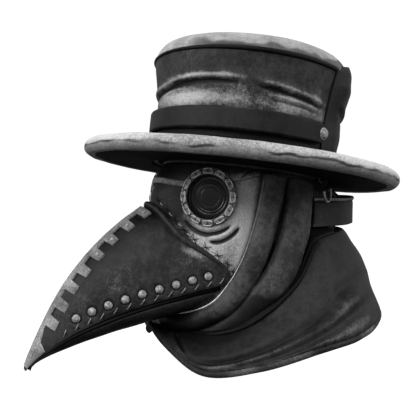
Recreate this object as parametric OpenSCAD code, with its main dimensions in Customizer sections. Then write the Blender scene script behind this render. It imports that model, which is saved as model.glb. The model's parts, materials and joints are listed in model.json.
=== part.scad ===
// Plague doctor mask: a beaked leather mask with a hood, a short cape and a brimmed hat.
// Millimetres. +Z is up, the beak points along -Y and the wearer's left is +X.
// The origin is the middle of the wearer's head, level with the eyes.

/* [Hat] */
// Outer radius of the brim
brim_r = 162.5; // [140:0.5:180]
// Outer radius of the crown at its waist
waist_r = 92.5; // [85:0.5:100]
// How much wider the crown is at its top than at its waist
crown_flare = 8.5; // [0:0.5:14]
// Height of the crown's top seam over the brim
crown_h = 104; // [80:1:125]
// Lean of the hat towards the back, in degrees
hat_lean = 6.5; // [0:0.5:12]
// Height of the hat's brim over the wearer's eyes
hat_z = 25; // [20:1:35]
// Width of the hat band
band_w = 21; // [12:1:30]

/* [Eyes] */
// Radius of the clear opening of each eye
eye_r = 21; // [14:0.5:24]
// Outer radius of the stitched ring around each eye
eye_ring_r = 28; // [28:0.5:32]
// Turn of each eye away from straight ahead, in degrees
eye_turn = 48; // [35:1:60]

/* [Beak] */
// Half width of the beak at the corners of the mouth
beak_w = 63; // [50:1:70]
// Leather thickness of the beak
beak_th = 3; // [2:0.5:4]
// Number of rivets along each lower edge of the beak
edge_rivets = 9; // [5:1:11]
// Number of square tabs on each side of the ridge
ridge_tabs = 8; // [4:1:9]
// Diameter of a rivet head
rivet_d = 7.5; // [5:0.5:9]

/* [Hood and cape] */
// Leather thickness of the face, the hood and the cape
leather = 3; // [2:0.5:4]
// Half width of the cape at its hem
cape_w = 138; // [120:1:160]
// Width of the strap around the back of the head
strap_w = 28; // [18:1:34]

/* [Hidden] */
$fn = 96;

gap = 0.4;
hat_y = -5;
seam_turn = 114;
crown_th = 3;
tip_roll = 18;
tip_rise = 5;
piping_r = 2;
brim_th = 4;
collar_h = 24;
rim_r = 8;
band_z = 30;
band_th = 3.4;
band_end = 8;
stud_d = 9;
stud_turn = 4.6;

// ---------- curves ----------

// A point at t, from 0 to 1, on the cubic curve of four control points.
function cubic(p, t) = pow(1 - t, 3) * p[0] + 3 * t * pow(1 - t, 2) * p[1]
    + 3 * t * t * (1 - t) * p[2] + pow(t, 3) * p[3];

// The value at t, smoothly, in a table whose rows start with t and rise.
function row_at(keys, t, i = 0) = i >= len(keys) - 2 || t < keys[i + 1][0] ? i : row_at(keys, t, i + 1);
function slope(keys, i) = let (a = keys[max(i - 1, 0)], b = keys[min(i + 1, len(keys) - 1)])
    (b - a) / (b[0] - a[0]);
function eased(keys, t) = let (
        i = row_at(keys, t), a = keys[i], b = keys[i + 1], w = b[0] - a[0],
        u = min(max((t - a[0]) / w, 0), 1))
    (2 * pow(u, 3) - 3 * u * u + 1) * a + (pow(u, 3) - 2 * u * u + u) * w * slope(keys, i)
    + (3 * u * u - 2 * pow(u, 3)) * b + (pow(u, 3) - u * u) * w * slope(keys, i + 1);

// A power that keeps its sign.
function spow(v, p) = sign(v) * pow(abs(v), p);
function unit(v) = v / norm(v);
function steps(a, b, n) = [for (i = [0 : n]) a + (b - a) * i / n];

// A smooth path through points: n pieces between each pair.
function through(points, n) = let (keys = [for (i = [0 : len(points) - 1]) concat([i], points[i])])
    [for (t = steps(0, len(points) - 1, n * (len(points) - 1))) let (k = eased(keys, t)) [k[1], k[2], k[3]]];

// The whole path of a piece whose left half is given from its top to the middle.
function mirrored(p) = [-p.x, p.y, p.z];
function both_sides(half) = concat(half, [for (i = [len(half) - 2 : -1 : 0]) mirrored(half[i])]);

// ---------- solids ----------

// A solid between two grids of points, outer and inner. wrap joins the last column to the first.
// capped closes the last row of each grid over itself, as at the top of a dome.
module shell(outer, inner, wrap = false, capped = false) {
    rows = len(outer);
    cols = len(outer[0]);
    half = rows * cols;
    last = wrap ? cols - 1 : cols - 2;
    function at(r, c, s) = s * half + r * cols + (c % cols);
    points = concat([for (r = outer) for (p = r) p], [for (r = inner) for (p = r) p]);
    skins = [for (r = [0 : rows - 2]) for (c = [0 : last]) for (f = [
        [at(r, c, 0), at(r, c + 1, 0), at(r + 1, c + 1, 0)], [at(r, c, 0), at(r + 1, c + 1, 0), at(r + 1, c, 0)],
        [at(r, c, 1), at(r + 1, c + 1, 1), at(r, c + 1, 1)], [at(r, c, 1), at(r + 1, c, 1), at(r + 1, c + 1, 1)]]) f];
    near = [for (c = [0 : last]) for (f = [
        [at(0, c, 0), at(0, c, 1), at(0, c + 1, 1)], [at(0, c, 0), at(0, c + 1, 1), at(0, c + 1, 0)]]) f];
    far = capped ? [for (c = [1 : cols - 2]) for (f = [
        [at(rows - 1, 0, 0), at(rows - 1, c, 0), at(rows - 1, c + 1, 0)],
        [at(rows - 1, 0, 1), at(rows - 1, c + 1, 1), at(rows - 1, c, 1)]]) f]
    : [for (c = [0 : last]) for (f = [
        [at(rows - 1, c, 0), at(rows - 1, c + 1, 1), at(rows - 1, c, 1)],
        [at(rows - 1, c, 0), at(rows - 1, c + 1, 0), at(rows - 1, c + 1, 1)]]) f];
    sides = wrap ? [] : [for (r = [0 : rows - 2]) for (f = [
        [at(r, 0, 0), at(r + 1, 0, 1), at(r, 0, 1)], [at(r, 0, 0), at(r + 1, 0, 0), at(r + 1, 0, 1)],
        [at(r, cols - 1, 0), at(r, cols - 1, 1), at(r + 1, cols - 1, 1)],
        [at(r, cols - 1, 0), at(r + 1, cols - 1, 1), at(r + 1, cols - 1, 0)]]) f];
    polyhedron(points, concat(skins, near, far, sides));
}

// A closed or open tube of an oval section along a path. Its thin side faces away from the vertical
// axis at middle, [x, y]. under flattens the side that faces the axis, and widths scales the width
// at each point of the path.
module tube(path, wide, thick, sides = 8, loop = false, middle = [0, 0], under = 1, widths = []) {
    n = len(path);
    rings = [for (i = [0 : n - 1])
        let (
            p = path[i],
            before = path[loop ? (i + n - 1) % n : max(i - 1, 0)],
            after = path[loop ? (i + 1) % n : min(i + 1, n - 1)],
            along = unit(after - before),
            out0 = [p.x - middle[0], p.y - middle[1], 0],
            out = unit(out0 - (out0 * along) * along),
            across = cross(along, out))
        [for (k = [0 : sides - 1]) let (
                a = 360 * k / sides,
                t = cos(a) < 0 ? under * thick : thick,
                w = wide * (len(widths) == 0 ? 1 : widths[i]))
            p + t * cos(a) * out + w * sin(a) * across]];
    function at(i, k) = (i % n) * sides + (k % sides);
    walls = [for (i = [0 : loop ? n - 1 : n - 2]) for (k = [0 : sides - 1]) for (f = [
        [at(i, k), at(i + 1, k + 1), at(i + 1, k)], [at(i, k), at(i, k + 1), at(i + 1, k + 1)]]) f];
    caps = loop ? [] : concat(
        [for (k = [1 : sides - 2]) [at(0, 0), at(0, k + 1), at(0, k)]],
        [for (k = [1 : sides - 2]) [at(n - 1, 0), at(n - 1, k), at(n - 1, k + 1)]]);
    polyhedron([for (r = rings) for (p = r) p], concat(walls, caps));
}

// ---------- the head's shape ----------

// Height, half width, middle, reach to the front, reach to the back.
HEAD = [[-118, 50, -10, 73, 66], [-95, 63, -9, 79, 76], [-75, 71, -8, 82, 86], [-50, 77, -7, 85, 100],
    [-25, 80, -7, 87, 114], [0, 80, -7, 87.5, 119], [12, 80, -6, 86, 108], [25, 78, -5, 81, 81],
    [45, 76, -3, 79, 80], [70, 66, -1, 69, 70], [90, 44, 0, 46, 47], [103, 12, 0, 12, 12]];
nose_rise = 10;
nose_spread = 16;
lean_from = -20;

function head_lean(h) = hat_lean * min(max((h - lean_from) / (hat_z - lean_from), 0), 1);
function nose_at(h) = nose_rise * exp(-pow((h + 14) / 22, 2));

// The point of the head's outer face at height h, turned t degrees from the front, moved out by off.
function head(t, h, off = 0) = let (
        k = eased(HEAD, h),
        rear = cos(t) < 0,
        p = rear ? 2 / 2.3 : 1,
        y = k[2] - (rear ? k[4] + off : k[3] + off) * spow(cos(t), p)
            - nose_at(h) * exp(-pow(t / nose_spread, 2)),
        x = (k[1] + off) * sin(t))
    [x, y, h - tan(head_lean(h)) * (y - hat_y)];

function patch(turns, heights, off) = [for (h = heights) [for (t = turns) head(t, h, off)]];

// ---------- the hat ----------

module at_hat() { translate([0, hat_y, hat_z]) rotate([-hat_lean, 0, 0]) children(); }

// Outer radius of the crown's front panel at height z over the brim.
function crown_r(z) = waist_r + crown_flare * pow(max((z - 40) / (crown_h - 40), 0), 1.6);
// Outer radius of the back panel, which bulges near its top.
function back_r(z) = waist_r + 1.5 * min(max((z - collar_h - 1) / 5, 0), 1)
    + (crown_flare + 3) * pow(min(max((z - 30) / 62, 0), 1), 1.5);
tip_r = crown_r(crown_h);

module turned(outline, from, to) {
    rotate([0, 0, from - 90]) rotate_extrude(angle = to - from) polygon(outline);
}

module hat_brim() color("#2b2b2b") at_hat() rotate_extrude() difference() {
    union() {
        translate([waist_r + gap, 0]) square([brim_r - rim_r - waist_r - gap, brim_th]);
        translate([waist_r + gap, 0]) square([2.6, collar_h]);
        translate([waist_r + gap, brim_th]) square([9, 9]);
    }
    translate([waist_r + gap + 2.6 + 9, brim_th + 9]) circle(r = 9);
}

module hat_brim_binding() color("#8a8a8a") at_hat() rotate_extrude() difference() {
    translate([brim_r - rim_r, 6.5]) intersection() {
        circle(r = rim_r);
        square([4 * rim_r, 15], center = true);
    }
    translate([brim_r - 2 * rim_r - 1, 0]) square([rim_r + 1, brim_th]);
}

module hat_crown_front() color("#5a5a5a") at_hat() {
    zs = steps(0, crown_h - 0.5, 14);
    outline = concat([for (z = zs) [crown_r(z), z]],
        [for (i = [len(zs) - 1 : -1 : 0]) [crown_r(zs[i]) - crown_th, zs[i]]]);
    turned(outline, -seam_turn + 0.3, seam_turn - 0.3);
}

// A point of the shoulder over the crown's top seam.
function over(a, r) = [tip_r - tip_roll + r * cos(a), crown_h + r * sin(a)];

module hat_crown_back() color("#333333") at_hat() {
    zs = steps(0, crown_h, 12);
    turns = steps(6, 42, 6);
    rise = back_r(crown_h) - tip_r + tip_roll;
    outline = concat([for (z = zs) [back_r(z), z]], [for (a = turns) over(a, rise)],
        [for (i = [len(turns) - 1 : -1 : 0]) over(turns[i], rise - crown_th)],
        [for (i = [len(zs) - 1 : -1 : 0]) [back_r(zs[i]) - crown_th, zs[i]]]);
    turned(outline, seam_turn, 360 - seam_turn);
}

module hat_crown_tip() color("#9a9a9a") at_hat() rotate_extrude() {
    turns = steps(0, 84, 9);
    top = tip_r - tip_roll;
    outline = concat([for (a = turns) [top + tip_roll * cos(a), crown_h + tip_roll * sin(a)]],
        [[0, crown_h + tip_roll + tip_rise], [0, crown_h + tip_roll + tip_rise - crown_th]],
        [for (i = [len(turns) - 1 : -1 : 0]) [top + (tip_roll - crown_th) * cos(turns[i]),
            crown_h + (tip_roll - crown_th) * sin(turns[i])]]);
    polygon(outline);
}

module hat_tip_piping() color("#1c1c1c") at_hat() rotate([0, 0, -seam_turn - 90])
    rotate_extrude(angle = 2 * seam_turn)
        translate([tip_r + piping_r + 0.1, crown_h - 0.3]) circle(r = piping_r);

// Piping up the crown's side seam, where the front panel meets the back panel.
module hat_seam_piping(side) color("#1c1c1c") at_hat() {
    turn = side * (seam_turn - 0.2);
    path = [for (z = steps(collar_h + 2.5, crown_h - 3, 12)) let (r = max(crown_r(z), back_r(z)) + 1.4)
        [r * sin(turn), -r * cos(turn), z]];
    tube(path, 1.8, 1.4);
}

band_out = 2.8;
end_play = 1.2;
// A ring cut to the band's length, with round ends a little wider than the band, so they meet it without a step.
module hat_band() color("#262626") at_hat() intersection() {
    reach = seam_turn - band_end;
    rotate_extrude() translate([waist_r + gap + band_out, band_z]) square([band_th, band_w]);
    union() {
        rotate([0, 0, -reach - 90]) rotate_extrude(angle = 2 * reach)
            translate([waist_r - band_th, band_z - 1]) square([5 * band_th, band_w + 2]);
        for (side = [-1, 1]) rotate([0, 0, side * reach - 90])
            translate([waist_r - band_th, 0, band_z + band_w / 2])
                rotate([0, 90, 0]) cylinder(d = band_w + end_play, h = 5 * band_th);
    }
}

module hat_band_studs() color("#8f8f8f") at_hat() for (side = [-1, 1])
    rotate([0, 0, side * (seam_turn - stud_turn) - 90])
        translate([waist_r + gap + band_out + band_th - 0.1, 0, band_z + band_w / 2])
            rotate([0, 90, 0]) dome_head(stud_d, 3);

// A domed metal head on +Z with a short shank below it.
module dome_head(d, h) {
    r = (d * d / 4 + h * h) / (2 * h);
    intersection() {
        translate([0, 0, h - r]) sphere(r = r);
        cylinder(d = d, h = h);
    }
    translate([0, 0, -2]) cylinder(d = d / 3, h = 2.2);
}

module hat_sweatband() color("#6b5a48") at_hat() rotate_extrude()
    translate([waist_r - crown_th - 2.2, 2]) square([2, 34]);

// ---------- the face ----------

// How far round the face panel reaches at height h.
FACE_EDGE = [[-118, 34], [-108, 44], [-95, 58], [-78, 66], [-48, 74], [-20, 79], [5, 81], [40, 82]];
function face_edge(h) = eased(FACE_EDGE, h)[1];
// Height of the seam between the face panel and the brow panel.
function brow_seam(t) = 8 + 14 * pow(max(abs(t) - 45, 0) / 36, 1.5);
face_low = -112;
brow_top = hat_z - 1;

module side_patch(turns_at, heights_at, rows, cols, out, th) {
    function grid(off) = [for (j = [0 : rows]) [for (i = [-cols : cols])
        let (h0 = heights_at(0, j / rows), t = turns_at(h0) * i / cols) head(t, heights_at(t, j / rows), off)]];
    shell(grid(out), grid(out - th));
}

face_turns = function(h) face_edge(h);
face_heights = function(t, v) face_low + (brow_seam(t) - 0.2 - face_low) * v;
brow_heights = function(t, v) brow_seam(t) + 0.2 + (brow_top - brow_seam(t) - 0.2) * v;

// The eye's axis is +Z and its seat on the face is at 0.
eye_at = [56, -70, 0.5];
module at_eye(side) {
    translate([side * eye_at.x, eye_at.y, eye_at.z])
        rotate([0, 0, side * eye_turn]) rotate([90, 0, 0]) children();
}

module face_panel() color("#a5a5a5") difference() {
    side_patch(face_turns, face_heights, 18, 16, 0, leather);
    for (side = [-1, 1]) at_eye(side) translate([0, 0, -30]) cylinder(r = eye_r + 3.2, h = 60);
    // The way from the face into the beak.
    translate([0, 0, -60]) rotate([90, 0, 0]) linear_extrude(200) oval(36, 30);
}

// An oval of exact arcs, w and h from its middle.
module oval(w, h) {
    translate([-(w - h), 0]) circle(r = h);
    translate([w - h, 0]) circle(r = h);
    square([2 * (w - h), 2 * h], center = true);
}

module brow_panel() color("#3c3c3c") difference() {
    side_patch(face_turns, brow_heights, 4, 16, 0.2, leather);
    for (side = [-1, 1]) at_eye(side) translate([0, 0, -30]) cylinder(r = eye_r + 3.2, h = 60);
}

// A narrow folded strip over the seam, between the two eye rings.
module brow_strip() color("#b0b0b0") {
    path = [for (t = steps(-27, 27, 20)) head(t, brow_seam(t), 1.6)];
    tube(path, 2.6, 1.3, middle = [0, -7]);
}

// ---------- the eyes ----------

cup_wall = 2.4;
lens_z = -6.5;
module eye_ring(side) color("#bdbdbd") at_eye(side) rotate_extrude()
    translate([eye_r + cup_wall + gap / 2, 0]) union() {
        width = eye_ring_r - eye_r - cup_wall - gap / 2;
        square([width, 2.4]);
        translate([1, 0]) square([width - 2, 3.4]);
    }

module eye_cup(side) color("#151515") at_eye(side) rotate_extrude() union() {
    translate([eye_r, -13]) square([cup_wall, 16.4]);
    translate([eye_r - 2.2, lens_z + 2.3]) square([2.4, 2]);
    translate([eye_r - 1.1, lens_z + 5.6]) square([1.3, 2.6]);
}

// A slightly domed disc.
module eye_lens(side) color("#101014") at_eye(side) translate([0, 0, lens_z]) rotate_extrude()
    polygon(concat([[0, 0], [eye_r - 0.2, 0]], [for (i = [0 : 8]) let (x = (eye_r - 0.2) * (1 - i / 8))
        [x, 2.6 - 1.6 * x * x / (eye_r * eye_r)]]));

module lens_clip(side) color("#777777") at_eye(side) translate([0, 0, lens_z - 1.6]) rotate_extrude()
    translate([eye_r - 1.8, 0]) square([1.7, 1.4]);

// ---------- the beak ----------

RIDGE = [[0, -108, -8], [0, -172, -46], [0, -205, -101], [0, -225, -155]];
MOUTH = [[beak_w, -47, -80], [0.72 * beak_w, -108, -94], [0.29 * beak_w, -190, -112], [1.6, -223.5, -158]];
KEEL = [[0, -84, -114], [0, -128, -124], [0, -180, -137], [0, -222, -161]];
beak_full = 1.47;
mouth_gap = 4;

// The point of a beak face, from the line top at turn 0 to the line side at turn 90.
function beak_point(top, side, s, turn, full = beak_full) = let (
        a = cubic(top, s), b = cubic(side, s), k = 2 / full,
        g = 1 - pow(cos(turn), k), x = b.x * pow(sin(turn), k))
    [x, a.y + (b.y - a.y) * g, a.z + (b.z - a.z) * g];
function beak_inner(top, side, s, turn, th) = let (
        p = beak_point(top, side, s, turn), b = cubic(side, s),
        core = [0, (cubic(top, s).y + b.y) / 2, (cubic(top, s).z + b.z) / 2],
        t = min(th, 0.3 * norm(core - p)))
    p + unit(core - p) * t;
function beak_out(s, turn, off) = let (
        d = 0.5, p = beak_point(RIDGE, MOUTH, s, turn),
        u = beak_point(RIDGE, MOUTH, s, min(turn + d, 90)) - beak_point(RIDGE, MOUTH, s, max(turn - d, 0)),
        v = beak_point(RIDGE, MOUTH, s + 0.004, turn) - beak_point(RIDGE, MOUTH, s - 0.004, turn))
    p + unit(cross(v, u)) * off;
// The turn at which the beak's face is d away from the ridge, or from the mouth edge.
function turn_from_ridge(s, d, lo = 0, hi = 85, n = 14) = let (m = (lo + hi) / 2)
    n == 0 ? m : norm(beak_point(RIDGE, MOUTH, s, m) - cubic(RIDGE, s)) > d
        ? turn_from_ridge(s, d, lo, m, n - 1) : turn_from_ridge(s, d, m, hi, n - 1);
function turn_from_mouth(s, d, lo = 5, hi = 90, n = 14) = let (m = (lo + hi) / 2)
    n == 0 ? m : norm(beak_point(RIDGE, MOUTH, s, m) - cubic(MOUTH, s)) > d
        ? turn_from_mouth(s, d, m, hi, n - 1) : turn_from_mouth(s, d, lo, m, n - 1);
function flip(p, side) = [side * p.x, p.y, p.z];

module beak_half() {
    rows = steps(0.012, 1, 24);
    turns = [0, 8, 16, 25, 34, 44, 54, 65, 77, 90];
    shell([for (s = rows) [for (t = turns) beak_point(RIDGE, MOUTH, s, t)]],
        [for (s = rows) [for (t = turns) beak_inner(RIDGE, MOUTH, s, t, beak_th)]]);
}
module beak_left() color("#6e6e6e") beak_half();
module beak_right() color("#6e6e6e") mirror([1, 0, 0]) beak_half();

module beak_lower() color("#2e2e2e") {
    top = [for (p = MOUTH) [0.95 * p.x, p.y + 3, p.z - mouth_gap]];
    rows = steps(0.09, 0.97, 20);
    turns = [90, 76, 62, 48, 34, 18, 0];
    full = 2;
    outer = [for (s = rows) concat([for (t = turns) beak_point(KEEL, top, s, t, full)],
        [for (i = [len(turns) - 2 : -1 : 0]) flip(beak_point(KEEL, top, s, turns[i], full), -1)])];
    inner = [for (r = [0 : len(rows) - 1]) let (
            up = cubic(top, rows[r]), th = min(beak_th, 0.3 * (up.z - cubic(KEEL, rows[r]).z)))
        [for (p = outer[r]) let (core = [0, up.y, up.z + 2]) p + unit(core - p) * min(th, 0.4 * norm(core - p))]];
    shell(inner, outer);
}

// The soft welt that fills the seam between the upper beak and the lower beak.
module beak_mouth_welt() color("#141414") {
    half = [for (s = steps(0.08, 0.955, 20)) let (p = cubic(MOUTH, s))
        [0.93 * p.x, p.y + 2, p.z - 0.5 * mouth_gap]];
    tip = cubic(MOUTH, 0.985);
    path = concat(half, [[0, tip.y + 3, tip.z - 0.5 * mouth_gap + 1]],
        [for (i = [len(half) - 1 : -1 : 0]) flip(half[i], -1)]);
    tube(path, 1.7, 1.5, sides = 6, middle = [0, -60]);
}

module beak_rear_roll() color("#5f5f5f") {
    half = [for (t = [82, 74, 66, 58, 50, 40, 31, 23, 15, 8, 0]) beak_out(0.008, t, 2.2)];
    tube(both_sides(half), 4.2, 3.4, middle = [0, -40]);
}

tab_l = 9.5;
tab_reach = 15.5;
strip_reach = 5;
tab_first = 0.049;
tab_last = 0.73;
function tab_s(i) = tab_first + (tab_last - tab_first) * i / (ridge_tabs - 1);
function ridge_speed(s) = norm(cubic(RIDGE, s + 0.01) - cubic(RIDGE, s - 0.01)) / 0.02;

module beak_ridge_plate() {
    edge = 0.0015;
    function tab_rows(i) = let (c = tab_s(i), w = tab_l / 2 / ridge_speed(c))
        [[c - w - edge, strip_reach], [c - w, tab_reach], [c + w, tab_reach], [c + w + edge, strip_reach]];
    rows = concat([[0.0285, strip_reach]], [for (i = [0 : ridge_tabs - 1]) for (r = tab_rows(i)) r],
        [[0.87, 4], [0.92, 3], [0.96, 2]]);
    parts = 4;
    function line(s, reach, off) = [for (j = [-parts : parts])
        flip(beak_out(s, turn_from_ridge(s, max(abs(j), 0.02) / parts * reach), off), j < 0 ? -1 : 1)];
    color("#b3b3b3") shell([for (r = rows) line(r[0], r[1], 0.3)], [for (r = rows) line(r[0], r[1], 2.2)]);
}

// A rivet on the beak's face, d from the mouth edge, or from the ridge.
module on_beak(side, s, turn) {
    p = beak_point(RIDGE, MOUTH, s, turn);
    n = unit(beak_out(s, turn, 1) - p);
    translate(flip(p, side)) rotate([0, acos(n.z), atan2(n.y, side * n.x)]) children();
}
rivet_up = 13.5;
rivet_first = 0.07;
rivet_last = 0.645;
module beak_rivets(side) color("#c4c4c4") for (i = [0 : edge_rivets - 1]) {
    s = rivet_first + (rivet_last - rivet_first) * i / (edge_rivets - 1);
    on_beak(side, s, turn_from_mouth(s, rivet_up)) translate([0, 0, 0.15]) dome_head(rivet_d, 2.4);
}
module ridge_rivets() color("#c4c4c4") for (side = [-1, 1]) for (i = [0 : 3])
    on_beak(side, tab_s(i), turn_from_ridge(tab_s(i), tab_reach - 5))
        translate([0, 0, 2.3]) dome_head(4.6, 1.5);

// ---------- the hood and the cape ----------

module hood_back() {
    heights = [-100, -88, -76, -64, -52, -40, -28, -16, -6, 2, 9, 16, brow_top];
    cols = 28;
    function grid(off) = [for (h = heights) [for (i = [0 : cols])
        let (a = face_edge(h) + 2.5) head(a + (360 - 2 * a) * i / cols, h, off)]];
    color("#3a3a3a") shell(grid(0), grid(-leather));
}

module hood_cap() color("#303030") {
    heights = [hat_z - 0.6, 36, 48, 60, 71, 81, 90, 97, 102];
    outer = patch([for (i = [0 : 35]) i * 10], heights, 0);
    core = [0, 0, 20];
    shell(outer, [for (r = outer) [for (p = r) p + leather * unit(core - p)]], wrap = true, capped = true);
}

// Left halves of the two rolls, from under the brim to below the chin.
INNER_ROLL = [[82, -14, 20], [82, -20, -6], [81, -26, -32], [78, -34, -58], [70, -43, -82],
    [56, -56, -104], [32, -73, -119], [0, -84, -123]];
OUTER_ROLL = [[82, 14, 15], [86, 9, -12], [87, 3, -40], [86, -9, -68], [79, -25, -93],
    [64, -42, -116], [36, -62, -134], [0, -74, -139]];
PIPING = [[82, -26, 18], [83.5, -32, -8], [81, -38, -33], [76, -45, -58], [66.5, -54, -81],
    [53, -66, -100], [30, -83, -111], [0, -92, -114]];

// Share of each roll's full width at the points of its path: the rolls press together under the chin.
INNER_WIDTHS = [1, 1, 1, 1, 0.96, 0.94, 0.94, 0.94];
OUTER_WIDTHS = [1, 1, 1, 1, 0.85, 0.72, 0.68, 0.66];
function widths_along(shares) = let (all = both_sides([for (w = shares) [0, w, 0]]))
    [for (p = through(all, 3)) p.y];

module roll(path, wide, thick, shares)
    tube(through(both_sides(path), 3), wide, thick, 10, under = 0.22, widths = widths_along(shares));
module hood_inner_roll() color("#4a4a4a") roll(INNER_ROLL, 9, 9, INNER_WIDTHS);
module hood_outer_roll() color("#424242") roll(OUTER_ROLL, 14.5, 10, OUTER_WIDTHS);
module face_piping() color("#9c9c9c") tube(through(both_sides(PIPING), 2), 1.3, 1.3, 6);

// Turn from the front, reach from the middle, height.
CAPE_TOP = [[0, 82, -130], [30, 84, -129], [50, 88, -123.5], [62, 91.5, -116], [72, 93, -105], [85, 92, -88.5],
    [96, 91.5, -70.5], [102, 91.5, -54], [106, 92.5, -42.5], [112, 94.5, -36.5], [125, 98, -33], [140, 103, -30.5],
    [180, 108, -30]];
CAPE_LOW = [[0, 105, -122], [25, 107, -143], [45, 119, -152], [68, 129, -142], [90, 139, -127],
    [110, 142, -121], [140, 143, -112], [180, 146, -109]];
tuck_in = 13;
tuck_up = 14;
// The hem is tucked in and up at the front of the wearer's right.
function tucked(t) = t < 0 ? exp(-pow((t + 38) / 19, 2)) : 0;
function around(keys, t, off = 0) = let (
        k = eased(keys, abs(t)), low = keys == CAPE_LOW, tuck = low ? tucked(t) : 0,
        r = (k[1] + off - tuck_in * tuck) * (low ? cape_w / 138 : 1))
    [r * sin(t), -r * cos(t), k[2] + tuck_up * tuck];
// A point of the cape, from its top at v = 0 to its hem at 1. It swells out most over the shoulders.
function cape_at(t, v, off = 0) = let (
        a = around(CAPE_TOP, t, off), b = around(CAPE_LOW, t, off), u = 1.4 * v - 0.4 * v * v)
    [a.x + (b.x - a.x) * u, a.y + (b.y - a.y) * u, a.z + (b.z - a.z) * v];
cape_turns = [for (i = [-24 : 23]) i * 7.5];

module cape() color("#383838") {
    rows = steps(0, 1, 8);
    shell([for (v = rows) [for (t = cape_turns) cape_at(t, v)]],
        [for (v = rows) [for (t = cape_turns) cape_at(t, v, -leather)]], wrap = true);
}
module cape_hem() color("#606060")
    tube([for (t = cape_turns) cape_at(t, 1, -1.4) - [0, 0, 3.1]], 3, 2.6, 8, true);
module cape_piping() color("#161616") for (side = [-1, 1])
    tube([for (t = steps(38, 108, 16)) cape_at(side * t, 0.02, 6.2)], 2.3, 2.3, 6);

// ---------- the straps ----------

strap_z = 1;
strap_th = 3.2;
strap_out = 6;
strap_ends = 104;
// The strap stands further off the head towards its back, where it also climbs a little.
function strap_at(t, z, off) = let (
        p = head(t, -12, strap_out + off), rear = pow(max(-cos(t) - 0.6, 0) / 0.4, 1.5))
    [p.x, p.y + 10 * pow(-cos(t), 1.2) + 3 * rear, z + 3 * rear];
module head_strap() color("#7a7a7a") {
    turns = steps(strap_ends, 360 - strap_ends, 32);
    zs = [strap_z - strap_w, strap_z];
    shell([for (z = zs) [for (t = turns) strap_at(t, z, 0)]],
        [for (z = zs) [for (t = turns) strap_at(t, z, -strap_th)]]);
}

crown_strap_w = 20;
CROWN_STRAP = [[0, 132], [12, 134], [25, 138], [45, 131], [70, 112], [90, 97]];
module crown_strap() {
    heights = [2.6, 8, 14, 20, 26, 36, 48, 60, 71, 81, 90, 97];
    function line(h, side, off) = let (
            c = eased(CROWN_STRAP, h)[1], p = head(c, h, off),
            w = min(crown_strap_w / 2, 0.45 * norm([p.x, p.y])),
            d = unit(head(c + 4, h, off) - head(c - 4, h, off)))
        side > 0 ? [p + w * d, p, p - w * d]
            : [flip(p, -1) - w * flip(d, -1) * -1, flip(p, -1), flip(p, -1) + w * flip(d, -1) * -1];
    function across_head(off) = concat([for (h = heights) line(h, 1, off)],
        [for (i = [len(heights) - 1 : -1 : 0]) let (l = line(heights[i], -1, off)) [l[0], l[1], l[2]]]);
    color("#2f2f2f") shell(across_head(3.2), across_head(0.8));
}

// The ring hangs from a leather tab behind the outer roll. Its bar is the hinge.
wire_r = 1.2;
ring_r = 7.5;
ring_leg = 5;
tab_w = 9;
tab_drop = 6;
ring_at = [84.8, 44, 9.5];
ring_out = 28;
ring_cant = 22;
module at_ring(side) {
    mirror([side < 0 ? 1 : 0, 0, 0]) translate(ring_at)
        rotate([0, 0, ring_out]) rotate([ring_cant, 0, 0]) children();
}
module d_ring(side) color("#aaaaaa") at_ring(side) {
    rotate([90, 0, 0]) cylinder(r = wire_r, h = 2 * ring_r, center = true);
    for (y = [-ring_r, ring_r]) translate([0, y, 0]) {
        sphere(r = wire_r);
        translate([0, 0, -ring_leg]) cylinder(r = wire_r, h = ring_leg);
    }
    translate([0, 0, -ring_leg]) rotate([0, 90, 0]) rotate([0, 0, -90])
        rotate_extrude(angle = 180) translate([ring_r, 0]) circle(r = wire_r);
}
module ring_tab(side) color("#8c8c8c") at_ring(side) difference() {
    union() {
        rotate([90, 0, 0]) cylinder(r = wire_r + 1.6, h = tab_w, center = true);
        translate([-wire_r - 1.6, -tab_w / 2, 0]) cube([2.2, tab_w, tab_drop]);
    }
    rotate([90, 0, 0]) cylinder(r = wire_r + 0.05, h = tab_w + 1, center = true);
}

module eye_ring_left() eye_ring(1);
module eye_ring_right() eye_ring(-1);
module eye_cup_left() eye_cup(1);
module eye_cup_right() eye_cup(-1);
module eye_lens_left() eye_lens(1);
module eye_lens_right() eye_lens(-1);
module lens_clip_left() lens_clip(1);
module lens_clip_right() lens_clip(-1);

hat_brim();
hat_brim_binding();
hat_crown_front();
hat_crown_back();
hat_crown_tip();
hat_tip_piping();
hat_seam_piping(1);  // hat_seam_piping_left
hat_seam_piping(-1);  // hat_seam_piping_right
hat_band();
hat_band_studs();
hat_sweatband();
face_panel();
brow_panel();
brow_strip();
beak_left();
beak_right();
beak_ridge_plate();
beak_rear_roll();
beak_lower();
beak_mouth_welt();
beak_rivets(1);  // beak_rivets_left
beak_rivets(-1);  // beak_rivets_right
ridge_rivets();
eye_ring_left();
eye_ring_right();
eye_cup_left();
eye_cup_right();
eye_lens_left();
eye_lens_right();
lens_clip_left();
lens_clip_right();
hood_back();
hood_cap();
hood_inner_roll();
hood_outer_roll();
face_piping();
cape();
cape_hem();
cape_piping();
head_strap();
crown_strap();
ring_tab(1);  // ring_tab_left
ring_tab(-1);  // ring_tab_right
d_ring(1);  // d_ring_left
d_ring(-1);  // d_ring_right
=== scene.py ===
"""The looks of a plague doctor mask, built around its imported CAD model.

The shape functions repeat those of the CAD source and work in millimetres; every mesh is made in metres.
+Z is up, the beak points along -Y and the wearer's left is +X."""
import json
import math

import bmesh
import bpy
import numpy as np
from mathutils import Matrix, Vector


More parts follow.
